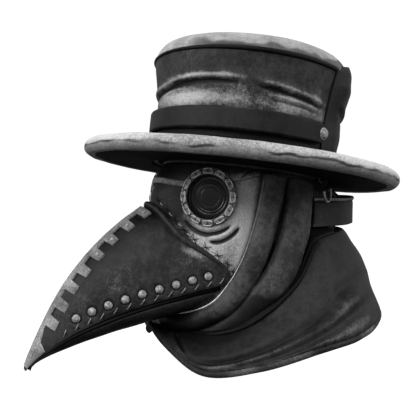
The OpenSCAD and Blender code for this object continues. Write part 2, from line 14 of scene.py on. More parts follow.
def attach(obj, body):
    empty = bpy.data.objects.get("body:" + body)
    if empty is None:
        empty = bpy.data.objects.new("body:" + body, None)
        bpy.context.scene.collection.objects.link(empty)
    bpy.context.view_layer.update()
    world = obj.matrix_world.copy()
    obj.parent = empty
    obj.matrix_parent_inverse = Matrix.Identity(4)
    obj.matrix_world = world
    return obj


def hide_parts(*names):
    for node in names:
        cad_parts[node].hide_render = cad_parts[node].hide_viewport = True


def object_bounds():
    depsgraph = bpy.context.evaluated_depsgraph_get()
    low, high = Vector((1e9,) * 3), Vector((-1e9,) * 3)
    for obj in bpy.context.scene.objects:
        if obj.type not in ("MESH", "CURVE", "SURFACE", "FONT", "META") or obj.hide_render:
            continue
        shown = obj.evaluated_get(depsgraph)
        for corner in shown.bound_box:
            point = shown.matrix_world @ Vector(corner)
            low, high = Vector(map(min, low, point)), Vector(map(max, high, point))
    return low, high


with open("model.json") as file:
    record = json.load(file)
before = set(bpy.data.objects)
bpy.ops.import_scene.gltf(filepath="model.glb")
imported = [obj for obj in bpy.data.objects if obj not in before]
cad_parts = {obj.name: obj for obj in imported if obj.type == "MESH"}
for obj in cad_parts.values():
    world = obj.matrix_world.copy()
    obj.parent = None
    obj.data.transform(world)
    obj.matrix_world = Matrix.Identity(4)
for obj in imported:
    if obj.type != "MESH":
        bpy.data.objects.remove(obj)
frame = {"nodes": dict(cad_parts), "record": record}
cad_box = [[float(v) for v in corner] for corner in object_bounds()]
MM = 0.001
SIDES = ((1, "left"), (-1, "right"))


# ---------- curves ----------

def cos_deg(angle):
    return np.cos(np.radians(angle))


def sin_deg(angle):
    return np.sin(np.radians(angle))


def xyz(x, y, z):
    """Points from their coordinates, which may be numbers or arrays."""
    return np.stack(np.broadcast_arrays(x, y, z), -1).astype(float)


def eased(keys, at):
    """The smooth values at 'at' in a table whose rows start with a rising key."""
    keys, at = np.asarray(keys, float), np.asarray(at, float)
    last = len(keys) - 1
    index = np.clip(np.searchsorted(keys[:, 0], at, side="right") - 1, 0, last - 1)
    before = keys[np.maximum(np.arange(last + 1) - 1, 0)]
    after = keys[np.minimum(np.arange(last + 1) + 1, last)]
    slopes = (after - before) / (after[:, :1] - before[:, :1])
    width = (keys[index + 1, 0] - keys[index, 0])[..., None]
    u = np.clip((at[..., None] - keys[index, :1]) / width, 0, 1)
    return ((2 * u**3 - 3 * u**2 + 1) * keys[index] + (u**3 - 2 * u**2 + u) * width * slopes[index]
            + (3 * u**2 - 2 * u**3) * keys[index + 1] + (u**3 - u**2) * width * slopes[index + 1])


def through(points, pieces):
    """A smooth path through points, with so many pieces between each pair."""
    points = np.asarray(points, float)
    keys = np.column_stack([np.arange(len(points)), points])
    return eased(keys, np.linspace(0, len(points) - 1, pieces * (len(points) - 1) + 1))[:, 1:]


def both_sides(half):
    """The whole path of a piece whose left half is given from its top to the middle."""
    half = np.asarray(half, float)
    return np.vstack([half, half[-2::-1] * [-1, 1, 1]])


def cubic(points, at):
    t = np.asarray(at, float)[..., None]
    return ((1 - t)**3 * points[0] + 3 * t * (1 - t)**2 * points[1]
            + 3 * t * t * (1 - t) * points[2] + t**3 * points[3])


def unit(vectors):
    return vectors / np.maximum(np.linalg.norm(vectors, axis=-1, keepdims=True), 1e-9)


def signed_power(value, power):
    return np.sign(value) * np.abs(value)**power


def smoothstep(low, high, value):
    t = np.clip((value - low) / (high - low), 0, 1)
    return t * t * (3 - 2 * t)


def bell(value, middle, width):
    return np.exp(-((value - middle) / width)**2)


def ripple(points, size, seed, count=14):
    """Smooth seeded unevenness from about -1 to 1, with bumps about 'size' mm across."""
    rng = np.random.default_rng(seed)
    ways = unit(rng.normal(size=(count, 3))) * rng.uniform(0.6, 1.5, (count, 1))
    phases = rng.uniform(0, 2 * math.pi, count)
    return np.sin(points @ ways.T * (math.pi / size) + phases).sum(-1) / math.sqrt(count) * 0.8


def fold(flat, line, width, depth, lip):
    """The height, over a flat map, of a soft crease along a line: a groove with a raised lip on its left."""
    track = through(line, 40)
    gaps = flat[..., None, :] - track
    nearest = (gaps**2).sum(-1).argmin(-1)
    gap = np.take_along_axis(gaps, nearest[..., None, None], -2)[..., 0, :]
    way = unit(np.gradient(track, axis=0))[nearest]
    side = way[..., 0] * gap[..., 1] - way[..., 1] * gap[..., 0]
    distance, along = np.linalg.norm(gap, axis=-1), nearest / (len(track) - 1)
    ends = smoothstep(0, 0.25, along) * smoothstep(0, 0.25, 1 - along)
    raised = lip * depth * bell(side, 1.7 * width, 1.3 * width) * (distance < 6 * width)
    return (raised - depth * bell(distance, 0, width)) * ends


def folds(flat, table, lip, across=1, down=1):
    """The height of several creases, (line, width, depth) each; across and down scale the lines to mm."""
    return sum(fold(flat, np.array(line) * [across, down], width, depth, lip) for line, width, depth in table)


# ---------- meshes ----------

def cells(rows, cols, start=0, wrap=False, flip=False):
    """The quads of a grid of points."""
    c = np.arange(cols if wrap else cols - 1)
    r = np.arange(rows - 1)[:, None] * cols + start
    near, far = r + c, r + (c + 1) % cols
    quads = np.stack([near, far, far + cols, near + cols], -1).reshape(-1, 4)
    return quads[:, ::-1] if flip else quads


def ring_cells(rows, cols):
    """The quads of a grid that is closed both ways."""
    return cells(rows + 1, cols, 0, True) % (rows * cols)


def make(name, shape, slot, node=None, wear=None, shade_and_darkening=None, body="mask", material=None):
    """A smooth, painted object from points in millimetres and faces, with its body, slot and CAD node."""
    points, faces = shape
    mesh = bpy.data.meshes.new(name)
    mesh.from_pydata((np.asarray(points) * MM).tolist(), [], [list(map(int, f)) for f in faces])
    mesh.validate()
    work = bmesh.new()
    work.from_mesh(mesh)
    bmesh.ops.recalc_face_normals(work, faces=work.faces)
    work.to_mesh(mesh)
    work.free()
    mesh.shade_smooth()
    mesh.materials.append(material or MATERIALS[slot])
    piece = bpy.data.objects.new(name, mesh)
    bpy.context.collection.objects.link(piece)
    paint(mesh, wear, shade_and_darkening)
    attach(piece, body)
    if node:
        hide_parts(node)
    return piece


EDGE_WEAR = 0.35


def paint(mesh, wear, shade_and_darkening):
    """Stores how pale and how darkened each point is: what is given, and the wear of raised edges and a
    painted shade in hollows. Values given for a slab's outer side only leave its inner side clean."""
    count = len(mesh.vertices)
    places = np.empty(count * 3)
    normals = np.empty(count * 3)
    ends = np.empty(len(mesh.edges) * 2, int)
    mesh.vertices.foreach_get("co", places)
    mesh.vertices.foreach_get("normal", normals)
    mesh.edges.foreach_get("vertices", ends)
    places, normals, ends = places.reshape(-1, 3), normals.reshape(-1, 3), ends.reshape(-1, 2)
    here, there = np.vstack([ends, ends[:, ::-1]]).T
    degree = np.maximum(np.bincount(here, minlength=count), 1)
    span = np.bincount(here, np.linalg.norm(places[here] - places[there], axis=1), count) / degree
    mean = np.stack([np.bincount(here, places[there, k], count) for k in range(3)], 1) / degree[:, None]
    raised = -((mean - places) * normals).sum(1) / np.maximum(span, 1e-7)
    for _ in range(2):
        raised = 0.5 * raised + 0.5 * np.bincount(here, raised[there], count) / degree
    # Raised edges are worn pale; hollows get a painted shade, added to the given darkening.
    edges, hollow_shade = np.clip((raised - 0.06) * 3, 0, 1) * EDGE_WEAR, np.clip((-raised - 0.03) * 4, 0, 1)
    for key, value, given in (("wear", edges, wear), ("shade_and_darkening", hollow_shade, shade_and_darkening)):
        if given is not None:
            given = np.ravel(np.asarray(given, float))
            if 1 < given.size < count:
                given = np.append(given, np.zeros(count - given.size))
            value = np.clip(value + given, 0, 1)
        mesh.attributes.new(key, "FLOAT", "POINT").data.foreach_set("value", value)


def slab(outer, inner, wrap=False):
    """Points and quads of a closed solid between two grids, with its edges drawn in to round them."""
    outer, inner = outer.copy(), inner.copy()
    rows, cols = outer.shape[:2]
    picks = [([0, rows - 1], slice(None))] + ([] if wrap else [(slice(None), [0, cols - 1])])
    for pick in picks:
        o, i = outer[pick].copy(), inner[pick].copy()
        outer[pick], inner[pick] = o + 0.3 * (i - o), i + 0.3 * (o - i)
    half = rows * cols
    faces = [cells(rows, cols, 0, wrap), cells(rows, cols, half, wrap, True)]
    loops = [np.arange(cols), np.arange(cols) + (rows - 1) * cols]
    if not wrap:
        loops += [np.arange(rows) * cols, np.arange(rows) * cols + cols - 1]
    for loop in loops:
        after = np.roll(loop, -1) if wrap else loop[1:]
        here = loop if wrap else loop[:-1]
        faces.append(np.stack([here, after, after + half, here + half], -1))
    return np.vstack([outer.reshape(-1, 3), inner.reshape(-1, 3)]), np.vstack(faces)


def ring_normals(grid, middle):
    """Unit normals of a grid of closed rings of points, facing away from a middle point."""
    across = (np.roll(grid, -1, 1) - np.roll(grid, 1, 1)) / 2
    normals = unit(np.cross(across, np.gradient(grid, axis=0)))
    return normals * np.sign(((grid - middle) * normals).sum(-1, keepdims=True).mean())


def capped(rings, sides):
    """The faces of a tube of closed rings of points, with a flat cap at each end."""
    faces = [list(f) for f in cells(rings, sides, 0, True)]
    return faces + [list(range(sides))[::-1], list(range((rings - 1) * sides, rings * sides))]


def sweep(path, outs, section, loop=False, scale=None):
    """Points and faces of a section, [out, across] per point, swept along a path with given outward sides."""
    step = np.roll(path, -1, 0) - np.roll(path, 1, 0) if loop else np.gradient(path, axis=0)
    along = unit(step)
    outs = unit(outs - (outs * along).sum(-1, keepdims=True) * along)
    across = np.cross(along, outs)
    sizes = np.ones((len(path), 2)) if scale is None else scale
    rings = (path[:, None] + section[None, :, :1] * sizes[:, None, :1] * outs[:, None]
             + section[None, :, 1:] * sizes[:, None, 1:] * across[:, None])
    count, sides = rings.shape[:2]
    return rings.reshape(-1, 3), ring_cells(count, sides) if loop else capped(count, sides)


def oval(out, across, sides=16, under=1.0):
    """A section for sweep: an oval whose inner side is flatter by 'under'."""
    turns = np.linspace(0, 360, sides, endpoint=False)
    depth = np.where(cos_deg(turns) < 0, out * under, out)
    return np.column_stack([depth * cos_deg(turns), across * sin_deg(turns)])


def away(path, middle_y=0):
    """Directions from a vertical axis to the points of a path."""
    return xyz(path[:, 0], path[:, 1] - middle_y, 0)


def roughened(points, depth, size, seed, middle_y=0):
    """Points moved in and out from a vertical axis by a seeded unevenness."""
    return points + (depth * ripple(points, size, seed))[:, None] * unit(away(points, middle_y))


def joined(parts):
    """One set of points and faces from several."""
    points, faces, start = [], [], 0
    for part_points, part_faces in parts:
        points.append(part_points)
        faces += [[int(v) + start for v in f] for f in part_faces]
        start += len(part_points)
    return np.vstack(points), faces


def stitch(start, end, normal, radius, rise):
    """One thread that arches over the leather from start to end and goes in at both."""
    u = np.linspace(0, 1, 7)[:, None]
    path = start + (end - start) * u + normal * (rise * 4 * u * (1 - u) - 0.35 * radius)
    return sweep(path, np.broadcast_to(normal, path.shape), oval(radius, radius, 6))


def outline(points, step):
    """A closed outline with points no further apart than a step."""
    points = np.asarray(points, float)
    out = []
    for a, b in zip(points, np.roll(points, -1, 0)):
        pieces = max(1, int(np.ceil(np.linalg.norm(b - a) / step)))
        out += [a + (b - a) * k / pieces for k in range(pieces)]
    return np.array(out)


# ---------- materials ----------

class Nodes:
    """A short way to write a material's nodes."""

    def __init__(self, name):
        self.material = bpy.data.materials.new(name)
        self.material.use_nodes = True
        self.tree = self.material.node_tree
        self.tree.nodes.clear()
        self.shader = self.add("ShaderNodeBsdfPrincipled")
        output = self.add("ShaderNodeOutputMaterial")
        self.link(self.shader.outputs[0], output.inputs[0])
        self.place = self.add("ShaderNodeTexCoord").outputs["Object"]

    def add(self, kind, inputs=(), **settings):
        node = self.tree.nodes.new(kind)
        for key, value in settings.items():
            setattr(node, key, value)
        for key, value in dict(inputs).items():
            self.put(node.inputs[key], value)
        return node

    def link(self, source, target):
        self.tree.links.new(source, target)

    def put(self, socket, value):
        if isinstance(value, bpy.types.NodeSocket):
            self.link(value, socket)
        elif hasattr(value, "__len__") or not hasattr(socket.default_value, "__len__"):
            socket.default_value = value
        else:
            socket.default_value = (value, value, value, 1)

    def shade(self, inputs):
        """Sets inputs of the shader and gives back the material."""
        for key, value in inputs.items():
            self.put(self.shader.inputs[key], value)
        return self.material

    def math(self, operation, first, second):
        return self.add("ShaderNodeMath", {0: first, 1: second}, operation=operation).outputs[0]

    def mix(self, share, first, second, blend="MIX"):
        inputs = {0: share, 6: first, 7: second}
        return self.add("ShaderNodeMix", inputs, data_type="RGBA", blend_type=blend).outputs[2]

    def noise(self, scale, detail=4.0, roughness=0.55, stretch=None):
        place = self.place
        if stretch:
            place = self.add("ShaderNodeMapping", {"Scale": stretch, "Vector": place}).outputs[0]
        inputs = {"Vector": place, "Scale": scale, "Detail": detail, "Roughness": roughness}
        return self.add("ShaderNodeTexNoise", inputs).outputs["Fac"]

    def pebbles(self, scale):
        inputs = {"Vector": self.place, "Scale": scale}
        return self.add("ShaderNodeTexVoronoi", inputs, feature="SMOOTH_F1").outputs["Distance"]

    def span(self, value, low, high, to_low=0.0, to_high=1.0):
        inputs = {"Value": value, "From Min": low, "From Max": high, "To Min": to_low, "To Max": to_high}
        return self.add("ShaderNodeMapRange", inputs, interpolation_type="SMOOTHSTEP").outputs[0]

    def attribute(self, name):
        return self.add("ShaderNodeAttribute", attribute_name=name).outputs["Fac"]

    def bump(self, height, distance, strength, normal=None):
        node = self.add("ShaderNodeBump", {"Height": height, "Distance": distance, "Strength": strength})
        if normal is not None:
            self.link(normal, node.inputs["Normal"])
        return node.outputs[0]


def leather(name, dark, base, pale, mottle=22, rough=0.55, grain=0.5, specular=0.15, patchy=0.5, speckle=0.5):
    """Leather with cloudy tones from dark to base, pale where worn and where light is painted, darkened by
    painted shade, and pebbled.
    """
    n = Nodes(name)
    clouds = n.noise(mottle, 6, 0.62)
    specks = n.noise(mottle * 8, 5, 0.75)
    dust = n.noise(760, 2, 0.7)
    tone = n.math("ADD", n.math("MULTIPLY", clouds, 0.62), n.math("MULTIPLY", specks, 0.38))
    colour = n.mix(n.span(tone, 0.5 - 0.2 * patchy, 0.5 + 0.2 * patchy), dark, base)
    loose = n.math("MULTIPLY", n.math("SUBTRACT", tone, 0.5), 1.1)
    fine = n.math("MULTIPLY", n.math("SUBTRACT", dust, 0.5), 0.9 * speckle)
    worn = n.math("ADD", n.attribute("wear"), n.math("ADD", loose, fine))
    colour = n.mix(n.span(worn, 0.15, 0.85), colour, pale)
    # The painted shade of each point, with fine dust specks, mixes the colour towards a near-black tone.
    shade_and_dust = n.math("ADD", n.attribute("shade_and_darkening"), n.math("SUBTRACT", fine, n.math("MULTIPLY", loose, 0.3)))
    colour = n.mix(n.span(shade_and_dust, 0.15, 0.95, 0, 0.985), colour, dark * 0.2)
    speck = n.span(dust, 0.25, 0.75, 1 - 0.55 * speckle, 1 + 0.55 * speckle)
    pores = n.bump(n.pebbles(780), 0.00022, grain)
    return n.shade({
        "Base Color": n.mix(1.0, colour, speck, "MULTIPLY"),
        "Roughness": n.span(tone, 0.3, 0.7, rough - 0.09, rough + 0.09),
        "Specular IOR Level": specular,
        "Normal": n.bump(specks, 0.0012, 0.45 * grain, pores)})


def metal(name, dark, light, rough=0.34, scale=160, metallic=1.0):
    """Worn metal, darker in patches, with fine scratches."""
    n = Nodes(name)
    cloud = n.noise(scale, 5, 0.6)
    return n.shade({
        "Base Color": n.mix(n.span(cloud, 0.35, 0.65), dark, light),
        "Roughness": n.span(cloud, 0.3, 0.7, rough + 0.14, rough - 0.06),
        "Metallic": metallic,
        "Normal": n.bump(n.noise(900, 3, 0.6, (1, 1, 6)), 0.00012, 0.5)})


def enamel(name, colour, rough=0.3):
    """Black enamel with faint dust."""
    n = Nodes(name)
    return n.shade({
        "Base Color": n.mix(n.span(n.noise(240, 4, 0.6), 0.45, 0.75), colour, colour * 2.2 + 0.01),
        "Roughness": n.span(n.noise(120, 4, 0.6), 0.3, 0.7, rough - 0.08, rough + 0.1),
        "Normal": n.bump(n.noise(500, 3, 0.5), 0.0001, 0.3)})


def smoked_glass(name):
    """Dark domed glass, nearly opaque."""
    n = Nodes(name)
    return n.shade({
        "Base Color": n.mix(n.span(n.noise(90, 4, 0.6), 0.3, 0.8), 0.004, 0.012),
        "Roughness": n.span(n.noise(70, 4, 0.6), 0.35, 0.7, 0.22, 0.34),
        "Specular IOR Level": 0.3,
        "Coat Weight": 0.12})


# Leathers: the dark, base and pale tones, and what differs from the usual leather.
LEATHERS = {
    # The brim's nearly black tones are a painted shade under the brim and at its collar below the band.
    "brim_leather": (0.0015, 0.004, 0.05, dict(rough=0.8, specular=0.05)),
    "rim_leather": (0.13, 0.27, 0.48, dict(mottle=46, patchy=0.9)),
    "crown_leather": (0.011, 0.034, 0.4, dict(mottle=30, rough=0.6, grain=0.9, speckle=0.35)),
    "crown_back_leather": (0.007, 0.016, 0.06, {}),
    "tip_leather": (0.17, 0.33, 0.5, dict(mottle=12, patchy=1.1, speckle=0.35)),
    "black_piping": (0.002, 0.004, 0.02, dict(rough=0.5, specular=0.1)),
    "band_leather": (0.005, 0.014, 0.16, dict(mottle=60)),
    "lining_leather": (0.12, 0.2, 0.3, dict(rough=0.65)),
    "face_leather": (0.045, 0.14, 0.46, dict(mottle=34, rough=0.5, grain=0.8, speckle=0.45)),
    # The brow's tones are darker than the face's: a painted shade under the hat's brim.
    "brow_leather": (0.008, 0.016, 0.4, dict(rough=0.45)),
    "beak_leather": (0.009, 0.03, 0.3, dict(mottle=26, rough=0.5, grain=0.7)),
    "dark_beak_leather": (0.003, 0.009, 0.08, dict(mottle=40, rough=0.45)),
    "pale_leather": (0.09, 0.19, 0.34, dict(mottle=60, rough=0.5)),
    "hood_leather": (0.022, 0.066, 0.26, dict(mottle=24, rough=0.48, specular=0.2)),
    "cape_leather": (0.009, 0.026, 0.14, dict(mottle=17, rough=0.58, grain=1.0, patchy=0.8)),
    "strap_leather": (0.007, 0.022, 0.36, dict(mottle=45, rough=0.5)),
    "ring_leather": (0.1, 0.24, 0.45, dict(mottle=70, rough=0.5)),
    "pale_thread": (0.4, 0.65, 0.8, dict(mottle=300, rough=0.6)),
    "dull_thread": (0.13, 0.25, 0.4, dict(mottle=300, rough=0.6)),
    "dark_thread": (0.004, 0.01, 0.04, dict(mottle=300, rough=0.6)),
}
MATERIALS = {name: leather(name, *row[:3], **row[3]) for name, row in LEATHERS.items()}
MATERIALS["rivet_metal"] = metal("rivet_metal", 0.13, 0.36, rough=0.62, scale=420, metallic=0.25)
MATERIALS["clip_metal"] = metal("clip_metal", 0.02, 0.05, rough=0.5)
MATERIALS["ring_metal"] = metal("ring_metal", 0.3, 0.6, metallic=0.8)
MATERIALS["black_metal"] = enamel("black_metal", 0.006)
MATERIALS["lens_glass"] = smoked_glass("lens_glass")
THREADS = {key: MATERIALS[f"{key}_thread"] for key in ("pale", "dull", "dark")}


# ---------- the hat ----------

BRIM_R, WAIST_R, CROWN_FLARE, CROWN_H = 162.5, 92.5, 8.5, 104
HAT_LEAN, HAT_Z, HAT_Y = 6.5, 25, -5
BAND_W, BAND_Z, BAND_TH, BAND_END, BAND_OFF = 21, 30, 3.4, 8, 2.8
SEAM_TURN, CROWN_TH, TIP_ROLL, TIP_RISE = 114, 3, 18, 5
BRIM_TH, RIM_R, COLLAR_H, GAP = 4, 8, 24, 0.4


def on_hat(points):
    """Points in the hat's own frame, carried to the row frame."""
    y, z = points[..., 1], points[..., 2]
    c, s = cos_deg(HAT_LEAN), sin_deg(HAT_LEAN)
    return xyz(points[..., 0], y * c + z * s + HAT_Y, -y * s + z * c + HAT_Z)


def hat_piece(name, shape, slot, node, wear=None, shade_and_darkening=None):
    """A piece given in the hat's own frame."""
    make(name, (on_hat(shape[0]), shape[1]), slot, node, wear, shade_and_darkening, "hat")


def around_zero(angle):
    """An angle from -180 to 180."""
    return (angle + 180) % 360 - 180


def turned(radius, turn, z):
    """Points at a radius, a turn from the front and a height."""
    return xyz(radius * sin_deg(turn), -radius * cos_deg(turn), z)


def crown_r(z):
    return WAIST_R + CROWN_FLARE * np.maximum((z - 40) / (CROWN_H - 40), 0)**1.6


def back_r(z):
    return (WAIST_R + 1.5 * np.clip((z - COLLAR_H - 1) / 5, 0, 1)
            + (CROWN_FLARE + 3) * np.clip((z - 30) / 62, 0, 1)**1.5)


def hat_brim():
    inner, outer, fillet_r = WAIST_R + GAP, BRIM_R - RIM_R + 1, 9
    wall = inner + 2.6
    a = np.linspace(270, 180, 8)
    fillet = np.column_stack([wall + fillet_r * (1 + cos_deg(a)), BRIM_TH + fillet_r * (1 + sin_deg(a))])
    profile = outline([[inner, 0.6], [inner + 0.6, 0], [outer, 0], [outer, BRIM_TH], *fillet,
                       [wall, COLLAR_H - 0.8], [inner + 2, COLLAR_H], [inner + 0.5, COLLAR_H]], 3)
    grid = turned(profile[:, :1], np.linspace(0, 360, 180, endpoint=False), profile[:, 1:])
    radius = np.hypot(grid[..., 0], grid[..., 1])
    grid[..., 2] += 0.35 * ripple(grid, 60, 3) * smoothstep(100, 130, radius)
    # Painted light: the underside is paler towards its outer edge, against the painted shade near the crown.
    under = (grid[..., 2] < 1.5) * smoothstep(138, 158, radius)
    shape = grid.reshape(-1, 3), ring_cells(*radius.shape)
    hat_piece("brim", shape, "brim_leather", "hat_brim", wear=0.5 * under)


def hat_rim():
    """The rolled rim: pale over its top with wear and a painted top light, down to an uneven line of painted
    shade.
    """
    a, s = np.meshgrid(np.linspace(0, 360, 360, endpoint=False), np.linspace(0, 360, 36, endpoint=False),
                       indexing="ij")
    mark = turned(160, a, 0)
    reach = RIM_R + 0.35 * ripple(mark, 26, 5) - 0.35
    grid = turned(BRIM_R - RIM_R + reach * cos_deg(s), a, 6.5 + np.clip(reach * sin_deg(s), -7.4, 7.4))
    line = 4 + 11 * ripple(mark, 40, 8) + 7 * ripple(mark, 12, 9)
    side = around_zero(s)
    grid = grid - 0.35 * bell(side, line, 7)[..., None] * unit(turned(cos_deg(s), a, sin_deg(s)))
    # top: wear and a painted top light, ending at an uneven line.
    top = smoothstep(line - 6, line + 6, side) * smoothstep(0, 30, 215 - side)
    # Less painted top light in the middle, where the key lamp already glares.
    top = top * (1 - 0.62 * bell(np.abs(around_zero(a)), 55, 30))
    # low: a painted highlight along the rim's lower side.
    low = bell(side, -62, 14) * (0.3 + 0.2 * ripple(mark, 30, 10))
    # A painted shade runs just below the uneven line.
    hat_piece("brim_rim", (grid.reshape(-1, 3), ring_cells(*a.shape)), "rim_leather", "hat_brim_binding",
              wear=0.8 * top + low, shade_and_darkening=(1.0 + 0.6 * ripple(mark, 22, 12)) * bell(side, line - 9, 9))


# Soft folds across the crown's front: [turn from the front, height] along each, width and depth.
CROWN_FOLDS = [
    ([[-52, 60], [-26, 64], [0, 68], [16, 72], [33, 74.5], [50, 74], [62, 72]], 2.6, 2.6),
    ([[60, 73.5], [72, 71.5], [86, 69], [100, 66], [113, 63]], 2.5, 2.4),
    ([[66, 63], [80, 61.5], [96, 60], [112, 57]], 2.0, 1.2),
    ([[-104, 58], [-80, 63], [-58, 61]], 2.6, 1.8),
    ([[-8, 60], [14, 64], [34, 63]], 1.6, 0.6),
]
# Worn patches there: how worn, the turn and its spread, the height and its spread.
CROWN_PATCHES = [(0.72, 26, 20, 60, 8), (0.4, -18, 30, 59, 9), (0.2, 60, 20, 58, 8), (0.16, 92, 26, 58, 9),
                 (0.36, 30, 22, 79, 3)]
# Faint folds of its back: [mm from the middle, height] along each, width and depth.
BACK_FOLDS = [
    ([[-95, 70], [-60, 62], [-20, 58]], 3.4, 1.8),
    ([[10, 74], [50, 66], [92, 70]], 3.4, 1.8),
    ([[-40, 48], [0, 44], [46, 47]], 3.4, 1.8),
]
BACK_SOFT = 1.5


def hat_crown_front():
    t, z = np.meshgrid(np.linspace(-SEAM_TURN + 0.3, SEAM_TURN - 0.3, 300), np.linspace(2, CROWN_H - 0.5, 76))
    flat = np.stack([np.radians(t) * WAIST_R, z], -1)
    creases = folds(flat, CROWN_FOLDS, 0.8, across=math.radians(WAIST_R))
    rise = 0.5 * ripple(turned(95, t, z), 38, 11) * smoothstep(CROWN_H, CROWN_H - 12, z) + creases
    outer = turned(crown_r(z) + rise * smoothstep(0, 4, SEAM_TURN - np.abs(t)), t, z)
    patches = sum(worn * bell(t, turn, wide) * bell(z, height, high)
                  for worn, turn, wide, height, high in CROWN_PATCHES) + 0.12 * smoothstep(84, 70, z)
    wear = np.clip(patches + 0.13 * np.clip(creases, 0, 2) + 0.12 * ripple(outer, 30, 13), 0, 0.95)
    # Painted shade: in the folds' grooves, under the tip's roll, beside the seams and in the gap below the
    # band.
    shade_and_darkening = (np.clip(-0.42 * creases, 0, 0.9) + 0.3 * smoothstep(100, 104, z)
            + 0.25 * smoothstep(100, 112, np.abs(t)) + smoothstep(34, 29, z))
    shape = slab(outer, turned(crown_r(z) - CROWN_TH, t, z))
    hat_piece("crown_front", shape, "crown_leather", "hat_crown_front", wear, shade_and_darkening)


def hat_crown_back():
    """The back panel, whose rolled top fades out towards the seams."""
    turns = np.linspace(SEAM_TURN, 360 - SEAM_TURN, 150)
    heights = np.linspace(0, CROWN_H, 60)[:, None]
    from_seam = np.minimum(turns - SEAM_TURN, 360 - SEAM_TURN - turns)
    shoulder = np.linspace(0.05, 1, 12)[:, None] * (17 + 25 * smoothstep(0, 30, from_seam))
    top_r = crown_r(CROWN_H)
    proud = back_r(CROWN_H) - top_r

    def wall(off):
        beyond = (back_r(heights) - crown_r(heights)) * (0.1 + 0.9 * smoothstep(0, 16, from_seam))
        side = crown_r(heights) + beyond - BACK_SOFT * smoothstep(78, CROWN_H, heights)**2 - off
        level = proud + TIP_ROLL - off - BACK_SOFT - proud * 0.9 * smoothstep(16, 0, from_seam)
        radius = np.concatenate([side, top_r - TIP_ROLL + level * cos_deg(shoulder)])
        return radius, np.concatenate([heights + 0 * side, CROWN_H + level * sin_deg(shoulder)])

    radius, z = wall(0)
    inner_radius, inner_z = wall(CROWN_TH)
    calm = smoothstep(20, 50, z) * smoothstep(0, 6, from_seam)
    lumps = (0.7 * ripple(turned(95, turns, z), 34, 21) * calm
             + 3.5 * smoothstep(0, 14, from_seam) * smoothstep(62, 40, z))
    flat = np.stack([np.radians(turns - 180) * WAIST_R + 0 * z, z], -1)
    creases = folds(flat, BACK_FOLDS, 0.7) * calm
    shape = slab(turned(radius + lumps + creases, turns, z), turned(inner_radius, turns, inner_z))
    wear = 0.1 * np.clip(creases, 0, 1) + 0.2 * smoothstep(CROWN_H - 4, CROWN_H + 4, z)
    # Painted shade in the folds' grooves.
    shade_and_darkening = np.clip(-0.3 * creases, 0, 0.7)
    hat_piece("crown_back", shape, "crown_back_leather", "hat_crown_back", wear, shade_and_darkening)


def hat_crown_tip():
    """The domed tip, with an uneven darker band over its seam."""
    base_r = crown_r(CROWN_H) - TIP_ROLL
    shoulder = np.linspace(0, 84, 18)
    rim_r, rim_z = base_r + TIP_ROLL * cos_deg(shoulder), CROWN_H + TIP_ROLL * sin_deg(shoulder)
    top = np.linspace(base_r, 0.5, 34)
    dome_z = rim_z[-1] + (CROWN_H + TIP_ROLL + TIP_RISE - rim_z[-1]) * (1 - (top / rim_r[-1])**2)
    a, r = np.meshgrid(np.linspace(0, 360, 220, endpoint=False), np.concatenate([rim_r, top]))
    z = np.concatenate([rim_z, dome_z])[:, None] + 0 * a
    up = z - CROWN_H
    grid = turned(r, a, z)
    lumps = 0.55 * ripple(grid, 32, 31) * smoothstep(0, 5, up)
    outer = grid + lumps[..., None] * unit(turned(r, a, 2 * up))
    inner = turned(np.maximum(r - CROWN_TH, 0.3), a, z - CROWN_TH * smoothstep(0, 16, up))
    edge = 6.5 + 3.5 * ripple(outer, 26, 33) + 2 * ripple(outer, 9, 34)
    dark_seam_band = smoothstep(edge + 2.5, edge - 2.5, up) * (0.8 + 0.2 * ripple(outer, 18, 35))
    hat_piece("crown_tip", slab(outer, inner, wrap=True), "tip_leather", "hat_crown_tip", wear=0.35,
              shade_and_darkening=dark_seam_band * smoothstep(8, 45, np.abs(around_zero(a))))


def hat_pipings():
    turns = np.linspace(-SEAM_TURN, SEAM_TURN, 200)
    thick = np.column_stack([1 + 0 * turns, 0.8 + 0.4 * smoothstep(0, 80, turns)])
    path = turned(crown_r(CROWN_H) + 0.1, turns, CROWN_H - 0.3)
    hat_piece("tip_piping", sweep(path, away(path), oval(1.3, 1.9, 10), scale=thick), "black_piping",
              "hat_tip_piping")
    z = np.linspace(COLLAR_H + 2.5, CROWN_H - 1.5, 60)
    for side, name in SIDES:
        path = turned(crown_r(z) + 0.5, side * (SEAM_TURN - 0.2), z)
        hat_piece(f"seam_piping_{name}", sweep(path, away(path), oval(1.0, 0.9, 10)), "black_piping",
                  f"hat_seam_piping_{name}")


def dome(centre, out, radius, height):
    """Points and faces of a domed rivet head that stands on a point, facing out."""
    first = unit(np.cross(out, [0.0, 0.0, 1.0]))
    second = np.cross(out, first)
    rings = [[radius * sin_deg(f), height * cos_deg(f)] for f in np.linspace(4, 90, 10)]
    rings.append([radius * 1.02, -0.6])
    a = np.linspace(0, 360, 32, endpoint=False)[:, None]
    points = [centre + r * (cos_deg(a) * first + sin_deg(a) * second) + h * out for r, h in rings]
    return np.vstack(points), capped(len(rings), len(a))


def hat_studs():
    """The domed studs that hold the band's ends, each on a thin washer."""
    parts = []
    for side, _ in SIDES:
        turn = side * (SEAM_TURN - 4.6)
        out = turned(1.0, turn, 0)
        base = turned(WAIST_R + GAP + BAND_OFF + BAND_TH, turn, BAND_Z + BAND_W / 2)
        parts += [dome(base, out, 5.8, 0.7), dome(base + 0.4 * out, out, 4.9, 3.2)]
    hat_piece("band_studs", joined(parts), "rivet_metal", "hat_band_studs")


